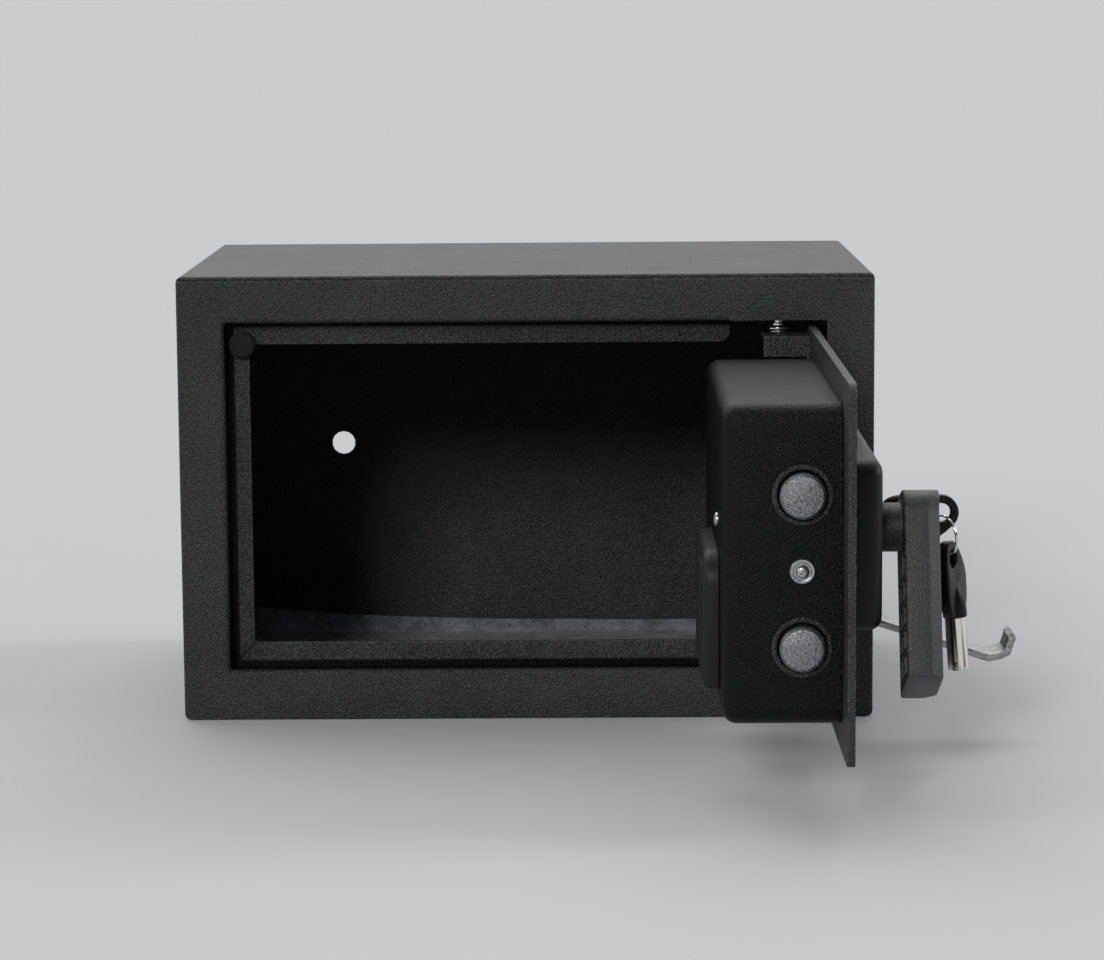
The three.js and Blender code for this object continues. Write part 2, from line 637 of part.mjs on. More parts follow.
function hingeEar() {
  const left = HINGE_X + EAR_BEYOND_PIN - EAR_LENGTH;
  const right = HINGE_X + EAR_BEYOND_PIN;
  const reach = PLATE_BACK + EAR_REACH;
  const top = extrude("z", roundRect(left, PLATE_BACK, right, reach, [0, 0, EAR_CORNER, 0]), EAR_TOP - SHEET, EAR_TOP);
  const flange = extrude("x", roundRect(PLATE_BACK, EAR_TOP - EAR_DROP, reach, EAR_TOP, [0, 0, EAR_CORNER, 0]),
    left, left + SHEET);
  const leg = extrude("y", roundRect(left, EAR_TOP - EAR_LEG, right, EAR_TOP, [EAR_CORNER, EAR_CORNER, 0, 0]),
    PLATE_BACK, PLATE_BACK + SHEET);
  const rounding = cut(
    box(left - OVERRUN, reach - EAR_CORNER, EAR_TOP - EAR_CORNER, left + SHEET, reach + OVERRUN, EAR_TOP + OVERRUN),
    rod("x", [0, reach - EAR_CORNER, EAR_TOP - EAR_CORNER], EAR_CORNER, left - OVERRUN * 2, left + SHEET + OVERRUN));
  const bore = rod("z", [HINGE_X, HINGE_Y, 0], HINGE_BORE_RADIUS, EAR_TOP - OVERRUN, EAR_TOP + OVERRUN,
    SMALL_CIRCLE_STEPS);
  return cut(join(top, flange, leg), rounding, bore);
}

// The plate that holds the pin behind the border of the front frame. Its leg is welded to the
// top or bottom of the case.
function hingeBracket(level, end) {
  const left = HINGE_X - BRACKET_HALF_WIDTH;
  const right = HINGE_X + BRACKET_HALF_WIDTH;
  const back = HINGE_Y + BRACKET_REACH;
  const shelf = box(left, FRONT + SHEET + SEAT, level, right, back, level + BRACKET_THICKNESS);
  const leg = box(left, back - BRACKET_THICKNESS, level, right, back, end);
  const bore = rod("z", [HINGE_X, HINGE_Y, 0], HINGE_BORE_RADIUS, level - OVERRUN, level + OVERRUN,
    SMALL_CIRCLE_STEPS);
  return cut(join(shelf, leg), bore);
}

// The pin passes up from the ear, through its flange, into the bracket at a level.
function hingePin(ear, bracket) {
  const flange = ear + HINGE_FLANGE_GAP;
  const tail = ear - HINGE_PIN_TAIL;
  const end = bracket + BRACKET_THICKNESS + HINGE_PIN_RADIUS;
  const dome = HINGE_PIN_RADIUS / 3;
  return turned("z", [HINGE_X, HINGE_Y, 0], [
    [0, tail],
    [HINGE_PIN_RADIUS - dome, tail],
    [HINGE_PIN_RADIUS, tail + dome],
    [HINGE_PIN_RADIUS, flange],
    [HINGE_FLANGE_RADIUS - dome / 2, flange],
    [HINGE_FLANGE_RADIUS, flange + HINGE_FLANGE_THICKNESS / 2],
    [HINGE_FLANGE_RADIUS - dome / 2, flange + HINGE_FLANGE_THICKNESS],
    [HINGE_PIN_RADIUS, flange + HINGE_FLANGE_THICKNESS],
    [HINGE_PIN_RADIUS, end - dome],
    [HINGE_PIN_RADIUS - dome, end],
    [0, end],
  ], SMALL_CIRCLE_STEPS);
}

function hingeParts() {
  const level = OPENING_TOP + SEAT;
  const lowerLevel = 2 * DOOR_MIDDLE - (OPENING_BOTTOM - SEAT);
  const ceiling = CASE_HEIGHT - SHEET - SEAT;
  const lowerCeiling = 2 * DOOR_MIDDLE - (SHEET + SEAT);
  return [
    named("hinge_bracket_top", "steel_black", hingeBracket(level, ceiling)),
    named("hinge_bracket_bottom", "steel_black", mirrored(hingeBracket(lowerLevel, lowerCeiling), DOOR_MIDDLE)),
    named("hinge_pin_top", "bright", hingePin(EAR_TOP, level)),
    named("hinge_pin_bottom", "bright", mirrored(hingePin(EAR_TOP, lowerLevel), DOOR_MIDDLE)),
  ];
}

// Door, drawn closed

function doorPlate() {
  const outline = roundRect(PLATE_LEFT, PLATE_BOTTOM, PLATE_RIGHT, PLATE_TOP, PLATE_CORNER);
  const openings = [
    disc(HANDLE_X, HANDLE_Z, SPINDLE_RADIUS + SPINDLE_CLEARANCE),
    disc(LOCK_X, LOCK_Z, LOCK_BODY_RADIUS + PLUG_CLEARANCE),
    disc(KEYPAD_X, KEYPAD_Z, WIRE_HOLE_RADIUS),
  ];
  outline.holes.push(...openings);
  return extrude("y", outline, PLATE_FRONT, PLATE_BACK, ROUND_STEPS * 2);
}

function lockCover() {
  const rect = [COVER_LEFT, COVER_BOTTOM, COVER_RIGHT, COVER_TOP];
  const start = PLATE_BACK + SEAT;
  const inside = rect.map((edge, i) => edge + (i < 2 ? COVER_WALL : -COVER_WALL));
  const skin = block("y", rect, COVER_CORNER, [[0, start], ...roundedEnd(COVER_EDGE, COVER_BACK)]);
  const hollow = block("y", inside, COVER_CORNER - COVER_WALL, [
    [0, start - OVERRUN],
    ...roundedEnd(COVER_EDGE - COVER_WALL, COVER_BACK - COVER_WALL),
  ]);
  const boltHoles = [-1, 1].map((side) =>
    rod("x", [0, BOLT_Y, BOLT_CENTRE_Z + (side * BOLT_SPACING) / 2], BUSHING_BODY_RADIUS + PLUG_CLEARANCE,
      COVER_LEFT - OVERRUN, COVER_LEFT + COVER_WALL + OVERRUN));
  const screwHole = rod("x", [0, BOLT_Y, BOLT_CENTRE_Z], SCREW_SHANK_RADIUS + PLUG_CLEARANCE,
    COVER_LEFT - OVERRUN, COVER_LEFT + COVER_WALL + OVERRUN, SMALL_CIRCLE_STEPS);
  const faceHole = rod("y", [FACE_SCREW_X, 0, FACE_SCREW_Z], SCREW_SHANK_RADIUS + PLUG_CLEARANCE,
    COVER_BACK - OVERRUN, COVER_BACK + OVERRUN, SMALL_CIRCLE_STEPS);
  const dimple = rod("x", [0, COVER_BACK - COVER_DIMPLE_INSET, COVER_BOTTOM + COVER_DIMPLE_INSET],
    COVER_DIMPLE_RADIUS, COVER_LEFT - OVERRUN, COVER_LEFT + COVER_WALL + OVERRUN, SMALL_CIRCLE_STEPS);
  const batteryHole = extrude("y", batteryOpening(), COVER_BACK - OVERRUN, COVER_BACK + OVERRUN);
  return cut(skin, hollow, ...boltHoles, screwHole, faceHole, dimple, batteryHole);
}

function traySpan() {
  const middle = (BATTERY_DOOR_LEFT + BATTERY_DOOR_RIGHT) / 2;
  const half = ((CELL_COUNT - 1) * CELL_PITCH) / 2 + CELL_RADIUS + SEAT + TRAY_WALL;
  const centre = (BATTERY_DOOR_BOTTOM + BATTERY_DOOR_TOP) / 2;
  const halfHeight = (CELL_LENGTH + CELL_NUB_HEIGHT) / 2 + SEAT + TRAY_WALL;
  return [middle - half, centre - halfHeight, middle + half, centre + halfHeight];
}

function batteryOpening() {
  const [left, bottom, right, top] = traySpan();
  return roundRect(left - SEAT, bottom - SEAT, right + SEAT, top + SEAT);
}

// The tray is open to the inside of the safe, where the battery door covers it.
function batteryTray() {
  const [left, bottom, right, top] = traySpan();
  const back = COVER_BACK - SEAT;
  const shell = box(left, TRAY_FRONT, bottom, right, back, top);
  const pocket = box(left + TRAY_WALL, TRAY_FRONT + TRAY_WALL, bottom + TRAY_WALL,
    right - TRAY_WALL, back + OVERRUN, top - TRAY_WALL);
  return cut(shell, pocket);
}

function cell(index) {
  const [left, bottom, , top] = traySpan();
  const x = left + TRAY_WALL + SEAT + CELL_RADIUS + index * CELL_PITCH;
  const from = bottom + TRAY_WALL + SEAT;
  const shoulder = top - TRAY_WALL - SEAT - CELL_NUB_HEIGHT;
  const rim = CELL_NUB_HEIGHT / 2;
  return turned("z", [x, CELL_Y, 0], [
    [0, from],
    [CELL_RADIUS - rim, from],
    [CELL_RADIUS, from + rim],
    [CELL_RADIUS, shoulder - rim],
    [CELL_RADIUS - rim, shoulder],
    [CELL_NUB_RADIUS, shoulder],
    [CELL_NUB_RADIUS, shoulder + CELL_NUB_HEIGHT],
    [0, shoulder + CELL_NUB_HEIGHT],
  ], SMALL_CIRCLE_STEPS);
}

// The battery door is a rounded lid with a thumb catch hollowed into its upper edge.
function batteryDoor() {
  const rect = [BATTERY_DOOR_LEFT, BATTERY_DOOR_BOTTOM, BATTERY_DOOR_RIGHT, BATTERY_DOOR_TOP];
  const start = COVER_BACK + SEAT;
  const end = COVER_BACK + BATTERY_DOOR_PROUD;
  const lid = block("y", rect, BATTERY_DOOR_CORNER, [[0, start], ...roundedEnd(BATTERY_DOOR_EDGE, end)]);
  const middle = (BATTERY_DOOR_LEFT + BATTERY_DOOR_RIGHT) / 2;
  const catchRect = [
    BATTERY_DOOR_LEFT + BATTERY_DOOR_EDGE,
    BATTERY_DOOR_TOP - BATTERY_LATCH_HEIGHT - BATTERY_DOOR_EDGE,
    BATTERY_DOOR_LEFT + BATTERY_DOOR_EDGE + BATTERY_LATCH_WIDTH,
    BATTERY_DOOR_TOP - BATTERY_DOOR_EDGE,
  ];
  const raised = block("y", catchRect, BATTERY_DOOR_EDGE, [
    [0, start],
    ...roundedEnd(BATTERY_LATCH_PROUD, end + BATTERY_LATCH_PROUD),
  ]);
  const thumbX = (catchRect[0] + catchRect[2]) / 2;
  const thumbZ = (catchRect[1] + catchRect[3]) / 2;
  const thumb = rod("x", [0, end + BATTERY_THUMB_RADIUS, thumbZ], BATTERY_THUMB_RADIUS + BATTERY_THUMB_DEPTH,
    thumbX - BATTERY_THUMB_RADIUS, thumbX + BATTERY_THUMB_RADIUS);
  const inner = rect.map((edge, i) => edge + (i < 2 ? COVER_WALL : -COVER_WALL) * 2);
  const hollow = block("y", inner, BATTERY_DOOR_CORNER - COVER_WALL * 2, [
    [0, start - OVERRUN],
    [0, (start + end) / 2],
  ]);
  const grooves = Array.from({ length: BATTERY_GRIP_COUNT }, (_, i) => {
    const x = middle + BATTERY_LATCH_WIDTH / 2 + i * 2 * BATTERY_GRIP_WIDTH;
    return box(x, end - BATTERY_GRIP_WIDTH / 2, BATTERY_DOOR_BOTTOM + BATTERY_DOOR_CORNER, x + BATTERY_GRIP_WIDTH,
      end + OVERRUN, BATTERY_DOOR_TOP - BATTERY_DOOR_CORNER);
  });
  return cut(join(lid, raised), thumb, hollow, ...grooves);
}

function boltBushing(side) {
  const z = BOLT_CENTRE_Z + (side * BOLT_SPACING) / 2;
  const face = COVER_LEFT - BUSHING_PROUD;
  const seat = COVER_LEFT - SEAT / 2;
  const end = COVER_LEFT + BUSHING_LENGTH;
  const bevel = BUSHING_PROUD / 2;
  return turned("x", [0, BOLT_Y, z], [
    [BUSHING_BORE_RADIUS, face + bevel],
    [BUSHING_BORE_RADIUS + bevel, face],
    [BUSHING_FLANGE_RADIUS - bevel, face],
    [BUSHING_FLANGE_RADIUS, face + bevel],
    [BUSHING_FLANGE_RADIUS, seat],
    [BUSHING_BODY_RADIUS, seat],
    [BUSHING_BODY_RADIUS, end],
    [BUSHING_BORE_RADIUS, end],
    [BUSHING_BORE_RADIUS, face + bevel],
  ]);
}

function bolt(side) {
  const z = BOLT_CENTRE_Z + (side * BOLT_SPACING) / 2;
  const tip = COVER_LEFT - BOLT_PROUD;
  return turned("x", [0, BOLT_Y, z], [
    [0, tip],
    [BOLT_RADIUS - BOLT_BEVEL, tip],
    [BOLT_RADIUS, tip + BOLT_BEVEL],
    [BOLT_RADIUS, FLANGE_LEFT - SEAT],
    [0, FLANGE_LEFT - SEAT],
  ]);
}

// The carriage is one bent plate: a flange behind the bolts and a web with its slots.
function boltCarriage() {
  const low = BOLT_CENTRE_Z - BOLT_SPACING / 2 - CARRIAGE_END_MARGIN;
  const high = BOLT_CENTRE_Z + BOLT_SPACING / 2 + CARRIAGE_END_MARGIN;
  const flange = extrude("x", roundRect(BOLT_Y - BOLT_RADIUS, low, BOLT_Y + BOLT_RADIUS, high, CARRIAGE_CORNER),
    FLANGE_LEFT, FLANGE_RIGHT);
  const right = FLANGE_RIGHT + CARRIAGE_WEB_LENGTH;
  const webLow = BOLT_CENTRE_Z - CARRIAGE_WEB_HALF_HEIGHT;
  const webHigh = BOLT_CENTRE_Z + CARRIAGE_WEB_HALF_HEIGHT;
  const corners = [0, CARRIAGE_CORNER, CARRIAGE_CORNER, 0];
  const web = extrude("y", roundRect(FLANGE_LEFT, webLow, right, webHigh, corners), WEB_FRONT, WEB_BACK);
  const width = POST_RADIUS + SLOT_CLEARANCE;
  const postX = FLANGE_RIGHT + POST_FROM_FLANGE;
  const postSlots = [-1, 1].map((side) => {
    const z = BOLT_CENTRE_Z + side * POST_OFFSET;
    return extrude("y", slot(postX, z, postX + BOLT_TRAVEL, z, width), WEB_FRONT - OVERRUN, WEB_BACK + OVERRUN);
  });
  const [pinX, pinZ] = camPinPlace();
  const lowest = HANDLE_Z - CAM_RADIUS;
  const pinSlot = extrude("y", slot(pinX, lowest, pinX, pinZ, CAM_PIN_RADIUS + SLOT_CLEARANCE),
    WEB_FRONT - OVERRUN, WEB_BACK + OVERRUN);
  return cut(join(flange, web), ...postSlots, pinSlot);
}

function camPinPlace() {
  const angle = HANDLE_SWING / 2;
  return [HANDLE_X + CAM_RADIUS * Math.sin(angle), HANDLE_Z - CAM_RADIUS * Math.cos(angle)];
}

// The cam hangs below the spindle, and its pin works in the upright slot of the carriage.
function driveCam() {
  const [pinX, pinZ] = camPinPlace();
  const back = CAM_FRONT + CAM_THICKNESS;
  const eye = extrude("y", disc(HANDLE_X, HANDLE_Z, CAM_EYE_RADIUS), CAM_FRONT, back, ROUND_STEPS * 2);
  const arm = extrude("y", slot(HANDLE_X, HANDLE_Z, pinX, pinZ, CAM_ARM_RADIUS), CAM_FRONT, back);
  const pin = rod("y", [pinX, 0, pinZ], CAM_PIN_RADIUS, CAM_FRONT, WEB_BACK + SEAT, SMALL_CIRCLE_STEPS);
  const bore = rod("y", [HANDLE_X, 0, HANDLE_Z], SPINDLE_RADIUS + SEAT, CAM_FRONT - OVERRUN, back + OVERRUN,
    SMALL_CIRCLE_STEPS);
  return cut(join(eye, arm, pin), bore);
}

function guidePost(side) {
  const x = FLANGE_RIGHT + POST_FROM_FLANGE;
  const z = BOLT_CENTRE_Z + side * POST_OFFSET;
  const head = WEB_BACK + SEAT;
  return turned("y", [x, 0, z], [
    [0, PLATE_BACK + SEAT],
    [POST_HEAD_RADIUS, PLATE_BACK + SEAT],
    [POST_HEAD_RADIUS, WEB_FRONT - SEAT],
    [POST_RADIUS, WEB_FRONT - SEAT],
    [POST_RADIUS, head],
    [POST_HEAD_RADIUS, head],
    [POST_HEAD_RADIUS, head + POST_HEAD_THICKNESS],
    [0, head + POST_HEAD_THICKNESS],
  ], SMALL_CIRCLE_STEPS);
}

function screw(axis, place, face, way, shank, radius = SCREW_HEAD_RADIUS, height = SCREW_HEAD_HEIGHT) {
  const top = face + way * height;
  const rim = height / 3;
  const profile = [
    [0, face - way * shank],
    [SCREW_SHANK_RADIUS, face - way * shank],
    [SCREW_SHANK_RADIUS, face],
    [radius, face],
    [radius, top - way * rim],
    [radius - rim, top],
    [0, top],
  ];
  const along = { x: (v) => [v, 0, 0], y: (v) => [0, v, 0], z: (v) => [0, 0, v] }[axis];
  const centre = place.map((value, i) => value + along(top)[i]);
  const blade = radius / 5;
  const recess = join(crossBar(centre, axis, radius / 2, blade, rim), crossBar(centre, axis, blade, radius / 2, rim));
  return cut(turned(axis, place, way > 0 ? profile : profile.reverse(), TINY_CIRCLE_STEPS), recess);
}

// One bar of a cross recess, centred on the top of a screw head.
function crossBar([x, y, z], axis, a, b, depth) {
  const half = { x: [depth, a, b], y: [a, depth, b], z: [a, b, depth] }[axis];
  return box(x - half[0], y - half[1], z - half[2], x + half[0], y + half[1], z + half[2]);
}

function endWasher() {
  const face = COVER_LEFT - SEAT / 2;
  return tube("x", [0, BOLT_Y, BOLT_CENTRE_Z], SCREW_SHANK_RADIUS + PLUG_CLEARANCE, END_WASHER_RADIUS,
    face - END_WASHER_THICKNESS, face);
}

function endScrew() {
  const seat = COVER_LEFT - SEAT - END_WASHER_THICKNESS;
  return screw("x", [0, BOLT_Y, BOLT_CENTRE_Z], seat, -1, BUSHING_LENGTH, END_SCREW_RADIUS, END_SCREW_HEIGHT);
}

// The solenoid sits above the carriage with its plunger resting on the edge of the web.
function solenoidPlace() {
  const x = FLANGE_RIGHT + CARRIAGE_WEB_LENGTH / 2;
  return [x, (WEB_FRONT + WEB_BACK) / 2, BOLT_CENTRE_Z + CARRIAGE_WEB_HALF_HEIGHT + SEAT];
}

function solenoidBody() {
  const [x, y, z] = solenoidPlace();
  const low = z + PLUNGER_SHOWN;
  const high = low + SOLENOID_LENGTH;
  const half = SOLENOID_WIDTH / 2;
  const yoke = box(x - half - COVER_WALL, y - SOLENOID_HEIGHT / 2, low, x + half + COVER_WALL,
    y + SOLENOID_HEIGHT / 2, high);
  const window = box(x - half, y - SOLENOID_HEIGHT, low + COVER_WALL, x + half, y + SOLENOID_HEIGHT,
    high - COVER_WALL);
  const coil = rod("z", [x, y, 0], SOLENOID_HEIGHT / 2 - SEAT, low + COVER_WALL / 2, high - COVER_WALL / 2);
  const foot = box(x - half - COVER_WALL, PLATE_BACK + SEAT, low, x + half + COVER_WALL, y, low + COVER_WALL);
  const bore = rod("z", [x, y, 0], PLUNGER_RADIUS + SEAT, low - OVERRUN, high + OVERRUN, SMALL_CIRCLE_STEPS);
  return cut(join(cut(yoke, window), coil, foot), bore);
}

function solenoidPlunger() {
  const [x, y, z] = solenoidPlace();
  const top = z + PLUNGER_SHOWN + SOLENOID_LENGTH;
  const bevel = PLUNGER_RADIUS / 3;
  return turned("z", [x, y, 0], [
    [0, z],
    [PLUNGER_RADIUS - bevel, z],
    [PLUNGER_RADIUS, z + bevel],
    [PLUNGER_RADIUS, top],
    [0, top],
  ], SMALL_CIRCLE_STEPS);
}

// Control panel, keypad and board

function keyPlace(column, row) {
  return [
    KEYPAD_X + (column - (KEY_COLUMNS - 1) / 2) * KEY_PITCH_X,
    KEYPAD_Z + ((KEY_ROWS - 1) / 2 - row) * KEY_PITCH_Z,
  ];
}

function keyRect(column, row, grow) {
  const [x, z] = keyPlace(column, row);
  const [w, h] = [KEY_WIDTH / 2 + grow, KEY_HEIGHT / 2 + grow];
  return [x - w, z - h, x + w, z + h];
}

function keypadGrid(make) {
  return Array.from({ length: KEY_COLUMNS * KEY_ROWS }, (_, i) =>
    make(i % KEY_COLUMNS, Math.floor(i / KEY_COLUMNS), i));
}

function controlPanel() {
  const rect = [PANEL_LEFT, PANEL_BOTTOM, PANEL_RIGHT, PANEL_TOP];
  const back = PLATE_FRONT - SEAT / 2;
  const inside = rect.map((edge, i) => edge + (i < 2 ? PANEL_WALL : -PANEL_WALL));
  const skin = block("y", rect, PANEL_CORNER, [...roundedStart(PANEL_EDGE, PANEL_FRONT), [0, back]]);
  const hollow = block("y", inside, PANEL_CORNER - PANEL_WALL, [
    ...roundedStart(PANEL_EDGE - PANEL_WALL, PANEL_FRONT + PANEL_WALL),
    [0, back + OVERRUN],
  ]);
  const keyHoles = keypadGrid((column, row) =>
    extrude("y", roundRect(...keyRect(column, row, KEY_CLEARANCE), KEY_CORNER), PANEL_FRONT - OVERRUN,
      PANEL_FRONT + OVERRUN, 2));
  const through = (x, z, radius) =>
    rod("y", [x, 0, z], radius, PANEL_FRONT - OVERRUN, PANEL_FRONT + OVERRUN, SMALL_CIRCLE_STEPS);
  return cut(
    skin,
    hollow,
    ...keyHoles,
    through(HANDLE_X, HANDLE_Z, SPINDLE_RADIUS + SPINDLE_CLEARANCE),
    through(LOCK_X, LOCK_Z, LOCK_BODY_RADIUS + PLUG_CLEARANCE),
    through(KEYPAD_X - LED_SPREAD, LED_Z, LED_RADIUS + PLUG_CLEARANCE),
    through(KEYPAD_X + LED_SPREAD, LED_Z, LED_RADIUS + PLUG_CLEARANCE),
  );
}

// Each key stands proud by more than its travel, on a stem that meets the board when pressed.
function keypadKey(column, row) {
  const [x, z] = keyPlace(column, row);
  const face = PANEL_FRONT - KEY_PROUD;
  const capBack = face + KEY_CAP_THICKNESS;
  const cap = block("y", keyRect(column, row, 0), KEY_CORNER, [
    ...roundedStart(KEY_EDGE, face, 1),
    [0, capBack],
  ], 2);
  const stem = rod("y", [x, 0, z], KEY_STEM_RADIUS, capBack - SEAT, boardFront() - KEY_TRAVEL - SEAT,
    TINY_CIRCLE_STEPS);
  return join(cap, stem);
}

function boardFront() {
  return PLATE_FRONT - PANEL_DEPTH / 3;
}

function circuitBoard() {
  const left = KEYPAD_X - KEY_PITCH_X - KEY_WIDTH / 2;
  const outline = roundRect(left, PANEL_BOTTOM + PANEL_WALL + SEAT, PANEL_RIGHT - PANEL_WALL - SEAT,
    PANEL_TOP - PANEL_WALL - SEAT, PANEL_CORNER - PANEL_WALL);
  return extrude("y", outline, boardFront(), boardFront() + BOARD_THICKNESS, 3);
}

function led(side) {
  const face = PANEL_FRONT - LED_PROUD;
  return turned("y", [KEYPAD_X + side * LED_SPREAD, 0, LED_Z], [
    [0, face],
    [LED_RADIUS / 2, face + LED_PROUD / 4],
    [LED_RADIUS, face + LED_PROUD],
    [LED_RADIUS, boardFront() - SEAT],
    [0, boardFront() - SEAT],
  ], TINY_CIRCLE_STEPS);
}

// Handle, drawn hanging straight down from the centre of its shaft

// The lever is lofted from level sections, from its foot to its rounded head. A wide bevel runs
// up both sides of its outer face and runs out in a hollow curve below the head.
// Behind, the moulding is cored out into pockets between cross ribs and one long rib.
function handleLever() {
  const back = -HUB_LENGTH;
  const hub = rod("y", [0, 0, 0], HUB_RADIUS, back - HUB_LENGTH / 2, -SEAT);
  const bore = rod("y", [0, 0, 0], SPINDLE_RADIUS + SEAT, back - LEVER_POCKET_DEPTH - SEAT, OVERRUN,
    SMALL_CIRCLE_STEPS);
  return cut(join(loft(leverLevels().map(leverSection)), hub), ...leverPockets(back), bore);
}

// The heights of the sections: the foot and its bevel, the run-out, and round the head.
function leverLevels() {
  const shoulder = LEVER_HEAD_REACH - LEVER_HEAD_CORNER;
  const steps = ROUND_STEPS * 2;
  const runout = Array.from({ length: steps + 1 }, (_, i) => LEVER_BEVEL_END + (LEVER_BEVEL_RUNOUT * i) / steps);
  const head = Array.from({ length: steps }, (_, i) =>
    shoulder + LEVER_HEAD_CORNER * Math.sin((((i + 1) / steps) * Math.PI) / 2));
  const levels = [-LEVER_LENGTH, -LEVER_LENGTH + LEVER_EDGE, shoulder, ...runout, ...head];
  return [...new Set(levels)].sort((a, b) => a - b);
}

// One section, at a height above the shaft. The foot is cut a little out of square.
function leverSection(z) {
  const shoulder = LEVER_HEAD_REACH - LEVER_HEAD_CORNER;
  const climb = Math.min(Math.max(z - shoulder, 0), LEVER_HEAD_CORNER);
  const round = LEVER_HEAD_CORNER - Math.sqrt(LEVER_HEAD_CORNER ** 2 - climb ** 2);
  const aboveFoot = z + LEVER_LENGTH;
  const footEdge = Math.max(LEVER_EDGE - aboveFoot, 0);
  const half = LEVER_HALF_WIDTH - round - footEdge;
  const runout = Math.min(Math.max((z - LEVER_BEVEL_END) / LEVER_BEVEL_RUNOUT, 0), 1);
  const bevel = LEVER_EDGE + (LEVER_BEVEL - LEVER_EDGE) * (1 - runout ** 2);
  const front = -HUB_LENGTH - LEVER_THICKNESS + footEdge;
  const side = front + bevel;
  const inner = Math.max(half - bevel, LEVER_EDGE);
  const back = -HUB_LENGTH - footEdge;
  const slope = aboveFoot > LEVER_EDGE ? 0 : LEVER_FOOT_SLOPE;
  return [
    [inner, front],
    [half, side],
    [half, back - LEVER_EDGE],
    [half - LEVER_EDGE, back],
    [-half + LEVER_EDGE, back],
    [-half, back - LEVER_EDGE],
    [-half, side],
    [-inner, front],
  ].map(([x, y]) => [x, y, z - slope * x]);
}

function leverPockets(back) {
  const half = LEVER_HALF_WIDTH - LEVER_WALL;
  const first = -HUB_RADIUS - LEVER_WALL;
  const last = -LEVER_LENGTH + LEVER_WALL + LEVER_HALF_WIDTH * LEVER_FOOT_SLOPE;
  const rows = Math.floor((first - last + LEVER_RIB) / LEVER_RIB_PITCH);
  const pitch = (first - last + LEVER_RIB) / rows;
  const pockets = [];
  for (let row = 0; row < rows; row += 1) {
    const top = first - row * pitch;
    const bottom = top - pitch + LEVER_RIB;
    for (const side of [-1, 1]) {
      const [near, far] = [(side * LEVER_RIB) / 2, side * half];
      pockets.push(box(Math.min(near, far), back - LEVER_POCKET_DEPTH, bottom, Math.max(near, far),
        back + OVERRUN, top));
    }
  }
  return pockets;
}

function handleSpindle() {
  const from = -HUB_LENGTH - LEVER_POCKET_DEPTH;
  const to = CAM_FRONT + CAM_THICKNESS - PANEL_FRONT;
  return rod("y", [0, 0, 0], SPINDLE_RADIUS, from, to, SMALL_CIRCLE_STEPS);
}

// Emergency lock

function lockCylinder() {
  const face = PANEL_FRONT - LOCK_PROUD;
  const seat = PANEL_FRONT - SEAT / 2;
  const end = face + LOCK_BODY_LENGTH;
  return turned("y", [LOCK_X, 0, LOCK_Z], [
    [PLUG_RADIUS + PLUG_CLEARANCE, face + LOCK_RIM],
    [PLUG_RADIUS + LOCK_RIM, face],
    [LOCK_RADIUS - LOCK_RIM, face],
    [LOCK_RADIUS, face + LOCK_RIM],
    [LOCK_RADIUS, seat],
    [LOCK_BODY_RADIUS, seat],
    [LOCK_BODY_RADIUS, end],
    [PLUG_RADIUS + PLUG_CLEARANCE, end],
    [PLUG_RADIUS + PLUG_CLEARANCE, face + LOCK_RIM],
  ]);
}

// The plug has a ring-shaped well for the hollow barrel of the key and a tail behind the body.
function lockPlug() {
  const face = PANEL_FRONT - LOCK_PROUD + LOCK_RIM;
  const end = face - LOCK_RIM + LOCK_BODY_LENGTH;
  const well = barrelTip() + SEAT;
  const tail = PLUG_RADIUS - LOCK_RIM;
  return turned("y", [LOCK_X, 0, LOCK_Z], [
    [0, face],
    [KEY_BARREL_BORE - PLUG_CLEARANCE, face],
    [KEY_BARREL_BORE - PLUG_CLEARANCE, well],
    [KEY_BARREL_RADIUS + PLUG_CLEARANCE, well],
    [KEY_BARREL_RADIUS + PLUG_CLEARANCE, face],
    [PLUG_RADIUS, face],
    [PLUG_RADIUS, end],
    [tail, end],
    [tail, end + LOCK_RIM * 3],
    [0, end + LOCK_RIM * 3],
  ], SMALL_CIRCLE_STEPS);
}

function bowBase() {
  return PANEL_FRONT - LOCK_PROUD - KEY_BARREL_SHOWN;
}

function barrelTip() {
  return bowBase() + KEY_BARREL_LENGTH - LOCK_BODY_LENGTH / 4;
}

const LOBE_OFFSET = KEY_BOW_WIDTH / 2 - KEY_LOBE_RADIUS;
const LOBE_ALONG = KEY_BOW_LENGTH - KEY_LOBE_RADIUS;

